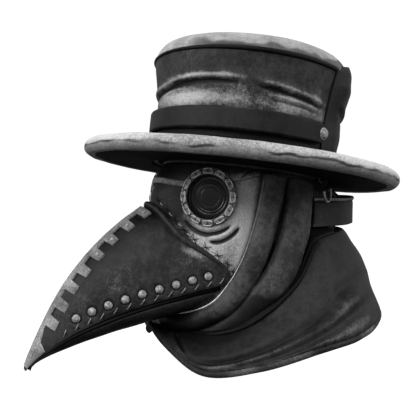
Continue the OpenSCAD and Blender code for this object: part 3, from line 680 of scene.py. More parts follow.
def hat_band():
    """The band: a strap with rounded ends that stands off the crown and has rounded edges."""
    inner_r = WAIST_R + GAP + BAND_OFF
    reach = SEAM_TURN - BAND_END + math.degrees(BAND_W / 2 / inner_r)
    turns = np.linspace(-reach, reach, 420)
    end_mm = np.radians(reach - np.abs(turns)) * inner_r
    half = BAND_W / 2 * np.sqrt(np.clip(1 - (1 - np.clip(end_mm / (BAND_W / 2), 0, 1))**2, 0.0015, 1))
    across = np.sin(np.linspace(-math.pi / 2, math.pi / 2, 22))[:, None]
    z = BAND_Z + BAND_W / 2 + across * half
    bevel = 1 - 0.5 * smoothstep(0.86, 1, np.abs(across))
    outer = turned(inner_r + BAND_TH * bevel + 0.22 * ripple(turned(95, turns, z), 16, 41), turns, z)
    edge = smoothstep(0.88, 1.0, np.abs(across)) * (0.3 + 0.25 * ripple(outer, 14, 43))
    hat_piece("hat_band_strap", slab(outer, turned(inner_r + 0.2, turns, z)), "band_leather", "hat_band",
              wear=np.clip(edge, 0, 1), shade_and_darkening=0.6 * smoothstep(20, 100, np.abs(turns)) * (1 - edge))


# ---------- the head's shape ----------

HEAD = [[-118, 50, -10, 73, 66], [-95, 63, -9, 79, 76], [-75, 71, -8, 82, 86], [-50, 77, -7, 85, 100],
        [-25, 80, -7, 87, 114], [0, 80, -7, 87.5, 119], [12, 80, -6, 86, 108], [25, 78, -5, 81, 81],
        [45, 76, -3, 79, 80], [70, 66, -1, 69, 70], [90, 44, 0, 46, 47], [103, 12, 0, 12, 12]]
LEATHER_TH = 3
FACE_EDGE = [[-118, 34], [-108, 44], [-95, 58], [-78, 66], [-48, 74], [-20, 79], [5, 81], [40, 82]]
FACE_LOW, BROW_TOP = -112, HAT_Z - 1
EYE_AT, EYE_TURN, EYE_R, EYE_RING_R, CUP_WALL = np.array([56, -70, 0.5]), 48, 21, 28, 2.4
# Wrinkles under each eye and the crease to the temple: [across towards the ear, up] along each.
EYE_FOLDS = [
    ([[-27, -19], [-17, -29], [-2, -34.5], [14, -31], [28, -20]], 2.7, 2.4),
    ([[-3, -41], [10, -41.5], [22, -35], [31, -24]], 2.3, 2.1),
    ([[26, 15], [34, 22], [46, 32], [56, 42]], 1.6, 1.5),
]


def head(turn, height, off=0.0):
    """Points of the head's outer face at a turn from the front and a height, moved out by off."""
    turn, height, off = np.broadcast_arrays(turn, height, off)
    k = eased(HEAD, height)
    c = cos_deg(turn)
    reach = np.where(c < 0, k[..., 4], k[..., 3]) + off
    nose = 10 * bell(height, -14, 22) * bell(turn, 0, 16)
    y = k[..., 2] - reach * signed_power(c, np.where(c < 0, 2 / 2.3, 1)) - nose
    lean = HAT_LEAN * np.clip((height + 20) / (HAT_Z + 20), 0, 1)
    return xyz((k[..., 1] + off) * sin_deg(turn), y, height - np.tan(np.radians(lean)) * (y - HAT_Y))


def face_edge(height):
    return eased(FACE_EDGE, height)[..., 1]


def brow_seam(turn):
    return 8 + 14 * (np.maximum(np.abs(turn) - 45, 0) / 36)**1.5


def eye_frame(side):
    """The middle of an eye, and its axes: across to the wearer's left, up and out."""
    c, s = cos_deg(EYE_TURN), side * sin_deg(EYE_TURN)
    return EYE_AT * [side, 1, 1], np.array([[c, s, 0], [0, 0, 1], [s, -c, 0]])


def in_eye(points, side):
    """Points in an eye's frame."""
    origin, axes = eye_frame(side)
    return (points - origin) @ axes.T


def from_eye(across, up, out, side):
    """Points given in an eye's frame, with across towards the ear, in the row frame."""
    origin, axes = eye_frame(side)
    return origin + xyz(side * across, up, out) @ axes


def snap_round(grid, side, radius, band):
    """Draws the points of a grid near the eye's hole onto the hole's round edge."""
    local = in_eye(grid, side)
    distance = np.hypot(local[..., 0], local[..., 1])
    near = (np.abs(distance - radius) < band) & (np.abs(local[..., 2]) < 20)
    factor = np.where(near, radius / np.maximum(distance, 1e-6) - 1, 0)
    return grid + (local * factor[..., None] * [1, 1, 0]) @ eye_frame(side)[1]


def face_height(points, side):
    """The height of the wrinkles and creases around one eye."""
    local = in_eye(points, side)
    near = (local[..., 2] > -45) & (side * points[..., 0] > 0)
    return np.where(near, folds(local[..., :2] * [side, 1], EYE_FOLDS, 0.7), 0)


def head_panel(low_at, high_at, rows, cols, off):
    """The points, faces and painted shade of a leather panel of the face, with the eyes' holes cut in it."""
    j, i = np.meshgrid(np.linspace(0, 1, rows), np.linspace(-1, 1, cols), indexing="ij")
    turn = face_edge(low_at(0) + (high_at(0) - low_at(0)) * j) * i
    height = low_at(turn) + (high_at(turn) - low_at(turn)) * j
    skin = head(turn, height, off)
    lumps = face_height(skin, 1) + face_height(skin, -1)
    outer = head(turn, height, off + lumps + 0.35 * ripple(skin, 17, 51))
    inner = head(turn, height, off - LEATHER_TH)
    hole = EYE_R + CUP_WALL + 0.9
    for side, _ in SIDES:
        outer, inner = snap_round(outer, side, hole, 1.3), snap_round(inner, side, hole, 1.3)
    points, faces = slab(outer, inner)
    drop = np.zeros(len(points), bool)
    for side, _ in SIDES:
        local = in_eye(points, side)
        within = np.hypot(local[:, 0], local[:, 1]) < hole + 0.05
        drop |= within & (np.abs(local[:, 2]) < 20) & (side * points[:, 0] > 0)
    # dark: painted shade in the wrinkles' grooves and along the edge beside the inner roll; the nose is
    # darker too.
    dark = np.clip(-0.8 * lumps, 0, 0.95) + 0.85 * smoothstep(0.86, 0.965, np.abs(i))
    dark = dark + 1.2 * smoothstep(-79, -90, outer[..., 1]) * smoothstep(-42, -8, outer[..., 2])
    return points, faces[~drop[faces].all(1)], dark


# Pale worn patches below each ring, on the cheek and towards the temple, where the patch fades upwards into a
# painted shadow of the hat's brim; less pale towards the nose.
def face_wear_and_brim_shade(points):
    wear = np.full(len(points), 0.3)
    for side, _ in SIDES:
        local = in_eye(points, side)
        ring, ear, up = np.hypot(local[:, 0], local[:, 1]), side * local[:, 0], local[:, 1]
        pale = (0.35 * bell(ring, 34, 10) * smoothstep(14, -10, up)
                + 0.4 * bell(ear, -2, 24) * bell(up, -50, 13)
                + 0.5 * bell(ear, 33, 9) * smoothstep(34, 0, up))
        wear = wear + pale * (side * points[:, 0] > 0)
    return wear - 0.65 * smoothstep(-74, -90, points[:, 1])


def brow_and_face():
    points, faces, dark = head_panel(lambda t: FACE_LOW + 0 * t, lambda t: brow_seam(t) - 0.2, 150, 300, 0.0)
    drop = ((points[:, 0] / 37)**2 + ((points[:, 2] + 60) / 31)**2 < 1) & (points[:, 1] < -20)
    make("face", (points, faces[~drop[faces].all(1)]), "face_leather", "face_panel", face_wear_and_brim_shade(points), dark)
    points, faces, dark = head_panel(lambda t: brow_seam(t) + 0.2, lambda t: BROW_TOP + 0 * t, 30, 220, 0.2)
    # Pale like the face at the outer sides, fading upwards into a painted shadow of the hat's brim; half the
    # face's painted shade.
    wear = 0.9 * smoothstep(50, 64, np.abs(points[:, 0])) * smoothstep(28, 12, points[:, 2])
    make("brow", (points, faces), "brow_leather", "brow_panel", wear, 0.5 * dark)
    turns = np.linspace(-27, 27, 60)
    path = head(turns, brow_seam(turns), 1.6)
    path[:, 2] += 1.5 * cos_deg(turns * 6)
    strip = sweep(path, away(path, -7), oval(1.6, 2.8, 14))
    make("brow_fold", strip, "face_leather", "brow_strip", wear=0.25)


# ---------- the eyes ----------

RING_LINKS = 12


def sunk(across):
    """How far the ring's side towards the nose lies deeper than its side towards the ear."""
    return -4.2 * smoothstep(EYE_RING_R, -EYE_RING_R, across)


def eye_disc(profile, side):
    """Points and quads of a closed outline, [radius, height] per point, turned about an eye's axis."""
    a, r = np.meshgrid(np.linspace(0, 360, 96, endpoint=False), profile[:, 0])
    h = profile[:, 1:] + 0 * a
    across = r * cos_deg(a)
    points = from_eye(across, r * sin_deg(a), h + sunk(across) * smoothstep(-8, 2, h), side)
    return points.reshape(-1, 3), ring_cells(*a.shape)


def eye_cup(side, name):
    """The stepped black cup that holds the lens, and the lens with the rings ground into it."""
    rim = EYE_R + CUP_WALL
    wall = outline([[EYE_R, -12], [EYE_R, -5], [18.9, -4], [18.9, -2.2], [EYE_R - 1, -1], [EYE_R - 1, 1.6],
                    [EYE_R, 2.2], [EYE_R, 3.2], [EYE_R + 0.5, 3.4], [rim, 3.2], [rim, -12]], 1.2)
    make(f"eye_cup_{name}_wall", eye_disc(wall, side), "black_metal", f"eye_cup_{name}")
    r = np.linspace(0.1, EYE_R - 0.3, 70)
    grooves = 0.6 * bell(r, 15.6, 0.55) + 0.5 * bell(r, 13.2, 0.5) + 0.3 * bell(r, 9, 0.5)
    curve = -6.5 + 2.6 - 1.6 * (r / EYE_R)**2 - grooves
    profile = np.vstack([np.column_stack([r, curve]), np.column_stack([r[::-1], -6.4 + 0 * r])])
    make(f"eye_lens_{name}_glass", eye_disc(profile, side), "lens_glass", f"eye_lens_{name}")


def eye_ring(side, name):
    """The stitched ring: a washer over the cup's rim, a chain of raised links, crossed stitches between."""
    inner, width = EYE_R - 0.1, EYE_RING_R - EYE_R - 0.1
    pitch = 360 / RING_LINKS
    out = eye_frame(side)[1][2]

    def spot(r, a, h):
        return from_eye(r * cos_deg(a), r * sin_deg(a), h + sunk(r * cos_deg(a)), side)

    a, u = np.meshgrid(np.linspace(0, 360, 240, endpoint=False), np.linspace(0, 1, 20))
    r = inner + width * u
    h = 3.6 + 1.4 * np.sin(math.pi * np.clip(0.1 + 0.9 * u, 0.03, 0.97))**0.5 - 2.6 * u**2.2
    from_gap = (a + pitch / 2) % pitch
    pinch = bell(from_gap / pitch, 0.5, 0.13)
    link = smoothstep(1.1, 0.8, (np.abs(from_gap - pitch / 2) / (0.43 * pitch))**2 + ((u - 0.48) / 0.33)**2)
    h = h - 0.5 * pinch + 0.35 * link + 0.12 * ripple(xyz(r * cos_deg(a), r * sin_deg(a), h), 5, 61)
    low = np.where(r < EYE_R + CUP_WALL + 0.3, 3.5, -0.6)
    # Raised links are worn paler; painted shade in the pinches between them.
    make(f"eye_ring_{name}_leather", slab(spot(r, a, h), spot(r, a, low), wrap=True), "pale_leather",
         f"eye_ring_{name}", 0.35 * link, 0.7 * pinch, material=MATERIALS["ring_leather"])
    threads, crosses = [], []
    middle = inner + 0.48 * width
    v = np.linspace(0, 2 * math.pi, 28, endpoint=False)
    for k in range(RING_LINKS):
        angle = k * pitch + 0.43 * pitch * signed_power(np.cos(v), 0.8)
        radius = middle + (0.31 + 0.05 * math.sin(3.1 * k)) * width * signed_power(np.sin(v), 0.6)
        path = spot(radius, angle, 4.9 - 1.1 * ((radius - inner) / width)**2)
        threads.append(sweep(path, np.broadcast_to(out, path.shape), oval(0.62, 0.58, 6), loop=True))
        for way in (-1, 1):
            ends = [spot(middle + end * way * 0.42 * width, (k + 0.5 + 0.2 * end) * pitch, 4.0)
                    for end in (-1, 1)]
            crosses.append(stitch(*ends, out, 0.42, 1.5))
    make(f"eye_ring_{name}_links", joined(threads), "pale_leather", material=THREADS["pale"])
    make(f"eye_ring_{name}_crosses", joined(crosses), "pale_leather", material=THREADS["dark"])


# ---------- the beak ----------

BEAK_W, BEAK_TH, MOUTH_GAP, BEAK_FULL = 63, 3, 4, 1.47
RIDGE = np.array([[0, -108, -8], [0, -172, -46], [0, -205, -101], [0, -225, -155]], float)
MOUTH = np.array([[BEAK_W, -47, -80], [0.72 * BEAK_W, -108, -94], [0.29 * BEAK_W, -190, -112],
                  [1.6, -223.5, -158]])
KEEL = np.array([[0, -84, -114], [0, -128, -124], [0, -180, -133], [0, -222, -159.5]], float)
RIVETS, RIVET_UP, RIVET_FIRST, RIVET_LAST = 9, 13.5, 0.07, 0.645
TABS, TAB_L, TAB_REACH, STRIP_REACH, TAB_FIRST, TAB_LAST = 8, 9.5, 15.5, 5, 0.049, 0.73
MOUTH_STITCHES = 13
# Where the beak's rear edge lies along it, for each turn from the ridge.
REAR_EDGE = [[0, -0.012], [20, -0.012], [38, 0.008], [47, 0.013], [60, -0.015], [70, -0.033], [80, -0.026],
             [90, -0.012]]


def beak_point(top, side, s, turn, full):
    """Points of a beak's half between two edges, at a share of its length and a turn from its top."""
    s, turn = np.broadcast_arrays(np.asarray(s, float), np.asarray(turn, float))
    a, b = cubic(top, s), cubic(side, s)
    g = 1 - np.clip(cos_deg(turn), 0, 1)**(2 / full)
    x = b[..., 0] * np.clip(sin_deg(turn), 0, 1)**(2 / full)
    return xyz(x, a[..., 1] + (b[..., 1] - a[..., 1]) * g, a[..., 2] + (b[..., 2] - a[..., 2]) * g)


def upper(s, turn):
    return beak_point(RIDGE, MOUTH, s, turn, BEAK_FULL)


def beak_normal(s, turn):
    u = upper(s, np.minimum(turn + 0.5, 90)) - upper(s, np.maximum(turn - 0.5, 0))
    return unit(np.cross(upper(s + 0.004, turn) - upper(s - 0.004, turn), u))


def beak_out(s, turn, off):
    return upper(s, turn) + beak_normal(s, turn) * np.asarray(off, float)[..., None]


def turn_where(s, distance, line, low, high, rising):
    """The turn at which the beak's face is so far from its ridge or its mouth edge."""
    s, distance = np.broadcast_arrays(np.asarray(s, float), np.asarray(distance, float))
    low, high = np.full(s.shape, float(low)), np.full(s.shape, float(high))
    for _ in range(18):
        middle = (low + high) / 2
        up = (np.linalg.norm(upper(s, middle) - cubic(line, s), axis=-1) > distance) == rising
        high, low = np.where(up, middle, high), np.where(up, low, middle)
    return (low + high) / 2


def from_mouth(s, distance):
    return turn_where(s, distance, MOUTH, 5, 90, False)


def rear_s(turn):
    return eased(REAR_EDGE, turn)[..., 1]


def beak_sides():
    """The two halves of the upper beak, dented around their rivets and worn near the rolled lip."""
    share, turn = np.meshgrid(np.linspace(0, 1, 190), np.linspace(0, 90, 100), indexing="ij")
    s = rear_s(turn) + (1 - rear_s(turn)) * share
    skin = upper(s, turn)
    normal = beak_normal(np.clip(s, -0.04, 0.985), np.clip(turn, 1, 89.5))
    rivets = np.linspace(RIVET_FIRST, RIVET_LAST, RIVETS)
    gap = np.linalg.norm(skin[..., None, :] - upper(rivets, from_mouth(rivets, RIVET_UP)), axis=-1).min(-1)
    lumps = 0.5 * ripple(skin, 20, 71) + 0.2 * ripple(skin, 8, 72)
    lumps = lumps * smoothstep(1.0, 0.8, s) * smoothstep(0, 6, turn)
    lumps = lumps * smoothstep(5, 9, gap) - 0.6 * bell(gap, 4.6, 1.1)
    thick = np.minimum(BEAK_TH, 0.28 * np.maximum(skin[..., :1], 0.4) + 0.6)
    core = (cubic(RIDGE, s) + cubic(MOUTH, s)) / 2 * [0, 1, 1]
    back = (s - rear_s(turn)) * 194
    worn = (0.5 * bell(back, 9, 5) * bell(turn, 57, 6) + 0.2 * bell(back, 20, 14) * bell(turn, 64, 14)
            + 0.22 * bell(s, 0.42, 0.2) * bell(turn, 48, 20) + 0.3 * smoothstep(0.8, 1.0, s))
    # Painted shade in the dents around the rivets; darker also just in front of the rolled lip, towards the
    # ridge at the rear and near the mouth edge.
    beak_shade_and_darkening = (0.9 * bell(gap, 4.4, 1.0) + 0.8 * smoothstep(52, 14, turn) * smoothstep(0.8, 0.3, s)
             + 0.7 * bell(back, 6, 3) * smoothstep(62, 40, turn) + 0.5 * smoothstep(80, 88, turn))
    for side, name in SIDES:
        outer = (skin + normal * lumps[..., None]) * [side, 1, 1]
        inner = (skin + unit(core - skin) * thick) * [side, 1, 1]
        make(f"beak_side_{name}", slab(outer, inner), "beak_leather", f"beak_{name}", worn, beak_shade_and_darkening)


def ridge_plate():
    """The pale plate along the ridge, with square tabs down both sides."""
    marks = np.linspace(0.0285, 0.985, 560)
    reach = np.interp(marks, [0, 0.78, 0.84, 0.88, 1], [STRIP_REACH, STRIP_REACH, 7.5, 20, 20])
    for i, c in enumerate(np.linspace(TAB_FIRST, TAB_LAST, TABS)):
        speed = np.linalg.norm(cubic(RIDGE, c + 0.01) - cubic(RIDGE, c - 0.01)) / 0.02
        half, edge = TAB_L / 2 / speed, 0.45 / speed
        inside = smoothstep(half + edge, half - edge, np.abs(marks - c))
        reach = reach + (TAB_REACH + 0.5 * math.sin(i * 2.3) - STRIP_REACH) * inside
    side_height = np.linalg.norm(upper(marks, 84.0) - cubic(RIDGE, marks), axis=-1)
    reach = np.minimum(reach, 0.98 * side_height)[:, None]
    across = np.concatenate([-np.linspace(1, 0.03, 17), np.linspace(0.03, 1, 17)])
    s = marks[:, None] + 0 * across
    turn = turn_where(s, np.abs(across) * reach, RIDGE, 0, 85, True)
    edge = np.minimum((1 - np.abs(across)) * reach, 1.4) / 1.4
    thin = 1 - 0.75 * smoothstep(0.45, 0.85, s)
    top = 0.5 + thin * (1.9 * np.sqrt(np.clip(edge, 0.02, 1)) + 0.12 * ripple(upper(s, turn), 6, 81))
    flip = xyz(np.where(across < 0, -1, 1), 1, 1)
    outer = beak_out(s, turn, top) * flip
    worn = 0.1 + 0.2 * ripple(outer, 22, 83) + 0.2 * smoothstep(0.3, 0.9, s)
    shape = slab(outer, beak_out(s, turn, 0.2 + 0 * s) * flip)
    make("ridge_plate", shape, "pale_leather", "beak_ridge_plate", wear=np.tile(worn.ravel(), 2))


def beak_lip():
    """The rolled rear lip of the beak, which flattens into the leather towards the mouth."""
    turns = np.linspace(86, 0, 80)
    path = both_sides(beak_out(rear_s(turns) + 0.013, turns, 0.5 + 0 * turns))
    flat = smoothstep(72, 48, np.concatenate([turns, turns[-2::-1]]))
    size = np.column_stack([0.35 + 0.65 * flat, 0.6 + 0.4 * flat])
    points, faces = sweep(path, away(path, -40), oval(2.6, 3.0, 18), scale=size)
    points = roughened(points, 0.25, 9, 91, -40)
    make("beak_lip", (points, faces), "beak_leather", "beak_rear_roll", wear=0.05)


def lower_beak():
    turns = both_sides(np.column_stack([np.ones(34), np.linspace(90, 0, 34), np.zeros(34)]))
    s, turn = np.meshgrid(np.linspace(0.075, 0.985, 130), turns[:, 1], indexing="ij")
    top = MOUTH * [0.95, 1, 1] + [0, 3, -MOUTH_GAP]
    closed = smoothstep(0.55, 0.985, s)[..., None] * [0, -1.5, MOUTH_GAP - 1]
    skin = beak_point(KEEL, top, s, turn, 2) * xyz(turns[:, 0], 1, 1) + closed
    edge, keel = cubic(top, s) + closed, cubic(KEEL, s) + closed
    core = edge * [0, 1, 1] + [0, 0, 2]
    thick = np.minimum(BEAK_TH, 0.3 * (edge[..., 2] - keel[..., 2]))
    thick = np.minimum(thick, 0.4 * np.linalg.norm(core - skin, axis=-1))
    lumps = 0.35 * ripple(skin, 14, 95) * smoothstep(0.97, 0.8, s)
    outer = skin + unit(skin - core) * lumps[..., None]
    worn = 0.5 * smoothstep(0.7, 0.97, s) + 0.35 * bell(turn, 20, 14) * smoothstep(0.5, 0.1, s)
    shape = slab(outer, skin + unit(core - skin) * thick[..., None])
    make("lower_beak", shape, "dark_beak_leather", "beak_lower", wear=worn)


def mouth_welt():
    """The welt in the mouth seam, which rises to the upper beak's edge towards the tip."""
    s = np.linspace(0.06, 0.955, 90)
    near_tip = smoothstep(0.55, 0.95, s)
    p, tip = cubic(MOUTH, s), cubic(MOUTH, 0.985)
    lift = 0.5 * (MOUTH_GAP - 0.6) * near_tip - 0.5 * MOUTH_GAP
    half = xyz(0.93 * p[:, 0], p[:, 1] + 2 * (1 - near_tip), p[:, 2] + lift)
    path = np.vstack([half, [[0, tip[1] + 3, tip[2] - 0.5 * MOUTH_GAP + 1]], half[::-1] * [-1, 1, 1]])
    slim = np.concatenate([1 - 0.6 * s**3, [0.35], (1 - 0.6 * s**3)[::-1]])
    size = np.column_stack([slim, 0.6 * slim + 0.7])
    make("mouth_welt", sweep(path, away(path, -60), oval(1.5, 1.7, 10), scale=size), "black_piping",
         "beak_mouth_welt")


def on_face(turn):
    """A point of the face just behind the beak's lip, and the way out of the face there."""
    p = upper(rear_s(turn) - 0.037, turn)
    around = np.degrees(np.arctan2(p[..., 0], -(p[..., 1] + 7)))
    return head(around, p[..., 2], 0.4), turned(1, around, 0)


def beak_stitches():
    """Slanted and crossed stitches under the rivets, and crossed ones on the face along the rolled lip."""
    slanted, crossed, straight = [], [], []
    turns = np.array([16, 26, 35, 43, 51, 58, 65, 72, 79.0])
    for side, _ in SIDES:
        mirror = np.array([side, 1, 1])

        def mouth_spot(s, up):
            return beak_out(s, from_mouth(s, up), 0.3) * mirror

        for s in np.linspace(0.035, 0.735, MOUTH_STITCHES):
            out = beak_normal(s, from_mouth(s, 4)) * mirror
            slanted.append(stitch(mouth_spot(s + 0.017, 3.0), mouth_spot(s - 0.017, 7.6), out, 0.5, 1.1))
            crossed.append(stitch(mouth_spot(s - 0.007, 3.0), mouth_spot(s + 0.007, 6.4), out, 0.45, 0.5))
        for turn in turns:
            centre, out = on_face(turn)
            along = unit(on_face(turn + 2)[0] - centre)
            over = np.cross(out, along)
            arms = [(3.7 * along - 3.0 * over, 0.3, 0.7),
                    (3.7 * along + 3.0 * over, 0.3, 0.7),
                    (4.0 * along, 0.26, 0.5)]
            for arm, thick, rise in arms:
                ends = (centre - arm) * mirror, (centre + arm) * mirror
                crossed.append(stitch(*ends, out * mirror, thick, rise))
        for first, second in zip(turns[:-1], turns[1:]):
            a, out = on_face(first + 0.36 * (second - first))
            b, _ = on_face(first + 0.64 * (second - first))
            straight.append(stitch(a * mirror, b * mirror, out * mirror, 0.34, 0.5))
    make("mouth_stitches", joined(slanted), "pale_leather", material=THREADS["dull"])
    make("lip_crosses", joined(crossed), "pale_leather", material=THREADS["dark"])
    make("lip_threads", joined(straight), "pale_leather", material=THREADS["pale"])


# ---------- the hood ----------

INNER_ROLL = [[82, -14, 20], [82, -20, -6], [81, -26, -32], [78, -34, -58], [70, -43, -82], [56, -56, -104],
              [32, -73, -119], [0, -84, -123]]
OUTER_ROLL = [[82, 14, 15], [86, 9, -12], [87, 3, -40], [86, -9, -68], [79, -25, -93], [64, -42, -116],
              [36, -62, -134], [0, -74, -139]]
PIPING = [[82, -26, 18], [83.5, -32, -8], [81, -38, -33], [76, -45, -58], [66.5, -54, -81], [53, -66, -100],
          [30, -83, -111], [0, -92, -114]]


def roll(name, path, out, across, shares, seed, shade):
    """A stuffed roll of soft leather; shade gives its painted shade at a height."""
    path = through(both_sides(path), 24)
    widths = through(both_sides(np.column_stack([0 * np.array(shares), shares, shares])), 24)[:, 1]
    size = np.column_stack([0.5 + 0.5 * widths, widths])
    points, faces = sweep(path, away(path), oval(out, across, 40, 0.35), scale=size)
    rise = 0.5 * ripple(points, 24, seed) + 0.25 * ripple(points, 9, seed + 1)
    points = points + rise[:, None] * unit(away(points))
    wear = 0.04 + 0.1 * ripple(points, 30, seed + 2)
    # Painted shade low down, where the roll passes into shadow, and towards its top, in the brim's shadow.
    shade_and_darkening = shade(points[:, 2]) + 0.35 * smoothstep(-10, 10, points[:, 2])
    piece = make(name, (points, faces), "hood_leather", f"hood_{name}", wear, shade_and_darkening)


def hood_rolls():
    roll("inner_roll", INNER_ROLL, 10, 11.4, [1, 1, 1, 1, 0.98, 0.9, 0.8, 0.78], 101,
         lambda z: 0.84 * smoothstep(-94, -120, z))
    roll("outer_roll", OUTER_ROLL, 10.5, 15.5, [1, 1, 1, 0.97, 0.9, 0.82, 0.75, 0.72], 103,
         lambda z: 1.2 * smoothstep(-78, -100, z))
    path = through(both_sides(PIPING), 14)
    points, faces = sweep(path, away(path), oval(0.8, 0.7, 8))
    # The piping is darker higher up.
    make("face_edge_piping", (points, faces), "pale_leather", "face_piping", 0.5,
         0.75 * smoothstep(-85, -40, points[:, 2]), material=THREADS["pale"])


def hood_shell():
    """The hood's back, and the cap over the head, which is closed on top."""
    heights = np.concatenate([np.linspace(-100, -8, 60), np.linspace(-6, BROW_TOP, 24)])
    h, u = np.meshgrid(heights, np.linspace(0, 1, 170), indexing="ij")
    start = face_edge(h) + 2.5
    turn = start + (360 - 2 * start) * u
    lumps = 0.5 * ripple(head(turn, h), 26, 111) - 0.9 * bell(turn, 180, 1.0)
    shape = slab(head(turn, h, lumps), head(turn, h, -LEATHER_TH))
    make("hood_back_panel", shape, "hood_leather", "hood_back")
    heights = np.concatenate([np.linspace(HAT_Z - 0.6, 90, 50), np.linspace(91, 102.6, 12)])
    h, turn = np.meshgrid(heights, np.linspace(0, 360, 180, endpoint=False), indexing="ij")
    skin, core = head(turn, h), np.array([0, 0, 20.0])
    lumps = 0.5 * ripple(skin, 24, 113) - 0.7 * bell(turn, 180, 1.2)
    outer = skin + lumps[..., None] * unit(skin - core)
    points, quads = slab(outer, skin + LEATHER_TH * unit(core - skin), wrap=True)
    rows, cols = h.shape
    half = rows * cols
    faces = [list(f) for f in quads[:(2 * rows - 1) * cols]]
    faces += [list(range(half - cols, half)), list(range(2 * half - cols, 2 * half))[::-1]]
    make("hood_cap_panel", (points, faces), "hood_leather", "hood_cap")


# ---------- the cape ----------

CAPE_TOP = [[0, 82, -130], [30, 84, -129], [50, 88, -123.5], [62, 91.5, -116], [72, 93, -105],
            [85, 92, -88.5], [96, 91.5, -70.5], [102, 91.5, -54], [106, 92.5, -42.5], [112, 94.5, -36.5],
            [125, 98, -33], [140, 103, -30.5], [180, 108, -30]]
CAPE_LOW = [[0, 105, -122], [25, 107, -143], [45, 119, -152], [68, 129, -142], [90, 139, -127],
            [110, 142, -121], [140, 143, -112], [180, 146, -109]]
TUCK_IN, TUCK_UP, HEM_MIN = 15, 22, 6
# Folds of the cape's left side, mirrored on the right: [turn, share of the way down] each, width, depth.
CAPE_FOLDS = [
    ([[30, 0.86], [52, 0.76], [80, 0.64], [108, 0.54], [140, 0.48]], 6.5, 4.2),
    ([[44, 0.98], [74, 0.9], [104, 0.8], [134, 0.74]], 5.0, 3.2),
    ([[118, 0.06], [112, 0.3], [102, 0.52]], 9.0, 3.0),
    ([[16, 0.2], [22, 0.5], [32, 0.84]], 4.0, 2.4),
    ([[150, 0.1], [156, 0.45], [152, 0.8]], 8.0, 2.6),
]
FOLD_R, FOLD_DROP = 115, 75
FRONT_END = {1: 38, -1: 60}


def cape_at(turn, v, off=0.0):
    """Points of the cape at a turn and a share of the way down; its hem is tucked in and up on one side."""
    turn, v, off = np.broadcast_arrays(turn, v, off)
    top, low = eased(CAPE_TOP, np.abs(turn)), eased(CAPE_LOW, np.abs(turn))
    tuck = np.where(turn < 0, bell(turn, -33, 18), 0)
    hem_z = np.minimum(low[..., 2] + TUCK_UP * tuck, np.maximum(top[..., 2] - HEM_MIN, low[..., 2]))
    a = turned(top[..., 1] + off, turn, top[..., 2])
    b = turned(low[..., 1] + off - TUCK_IN * tuck, turn, hem_z)
    u = 1.4 * v - 0.4 * v * v
    return a + (b - a) * xyz(u, u, v)


def cape():
    """The cape: its sheet, hem roll, the piping along its front and a black facing under it, a dark sheet
    that stands in for the shade beneath the rolls.
    """
    turns = np.linspace(-180, 180, 460, endpoint=False)
    v, t = np.meshgrid(np.linspace(0, 1, 76), turns, indexing="ij")
    skin = cape_at(t, v)
    flat = np.stack([np.radians(np.abs(t)) * FOLD_R, v * FOLD_DROP], -1)
    rise = (0.8 * ripple(skin, 40, 121) + 0.25 * ripple(skin, 13, 122)
            + folds(flat, CAPE_FOLDS, 0.8, math.radians(FOLD_R), FOLD_DROP))
    calm = smoothstep(0, 0.08, v) * smoothstep(1, 0.94, v)
    normal = ring_normals(skin, [0, 0, -180])
    outer = skin + normal * (rise * calm)[..., None]
    worn = 0.05 * ripple(skin, 34, 124) + 0.12 * bell(v, 0.93, 0.06) + 0.13 * rise * smoothstep(0.3, 0.6, v)
    # Painted shadow: darker at the front, most near the top under the rolls; painted shade along the top edge
    # and in the folds' valleys.
    front = smoothstep(88, 34, np.abs(t))
    shade_and_darkening = (np.clip(-0.14 * rise, 0, 0.5) + 0.6 * smoothstep(0.1, 0.0, v)
            + front * (0.95 * smoothstep(0.4, 0.08, v) + 0.7 * smoothstep(1.1, 0.5, v)))
    sheet = make("cape_sheet", slab(outer, outer - normal * LEATHER_TH, wrap=True), "cape_leather", "cape",
                 np.clip(worn, 0, 1), shade_and_darkening)
    path = cape_at(turns[::2], 1.0, -1.4) - [0, 0, 3.1]
    points, faces = sweep(path, away(path), oval(2.2, 2.9, 14), loop=True)
    points = roughened(points, 0.25, 12, 125)
    hem = make("cape_hem_roll", (points, faces), "cape_leather", "cape_hem",
               0.22 + 0.2 * ripple(points, 24, 126) - 0.2 * smoothstep(-60, -90, points[:, 1]))
    parts = []
    taper = np.concatenate([np.linspace(0.35, 1, 16), np.ones(74)])
    for side, _ in SIDES:
        line = cape_at(side * np.linspace(FRONT_END[side], 108, 90), 0.02, 2.6)
        parts.append(sweep(line, away(line), oval(1.7, 2.3, 10), scale=np.column_stack([taper, taper])))
    piping = make("cape_edge_piping", joined(parts), "black_piping", "cape_piping")
    # A black facing stands in for the shade beneath the rolls.
    u, t = np.meshgrid(np.linspace(0, 1, 12), np.linspace(-128, 128, 240), indexing="ij")
    deeper = smoothstep(40, 66, np.abs(t))
    grid = cape_at(t, 0.012, -1.2 - (17 + 5 * deeper) * u) + xyz(0, 0, 1 + (4 + 11 * deeper) * u)
    shade_sheet = make("cape_shade_sheet", slab(grid, grid - [0, 0, 1.4]), "black_piping")


# ---------- the straps ----------

STRAP_Z, STRAP_W, STRAP_TH, STRAP_OUT, STRAP_ENDS = 1, 28, 3.2, 6, 104
CROWN_STRAP_W = 20
CROWN_STRAP = [[0, 132], [12, 134], [25, 138], [45, 131], [70, 112], [90, 97]]


def strap_at(turn, z, off):
    p = head(turn, -12, STRAP_OUT + off)
    rear = (np.maximum(-cos_deg(turn) - 0.6, 0) / 0.4)**1.5
    rise = 10 * np.maximum(-cos_deg(turn), 0)**1.2 + 3 * rear
    return xyz(p[..., 0], p[..., 1] + rise, z + 3 * rear)


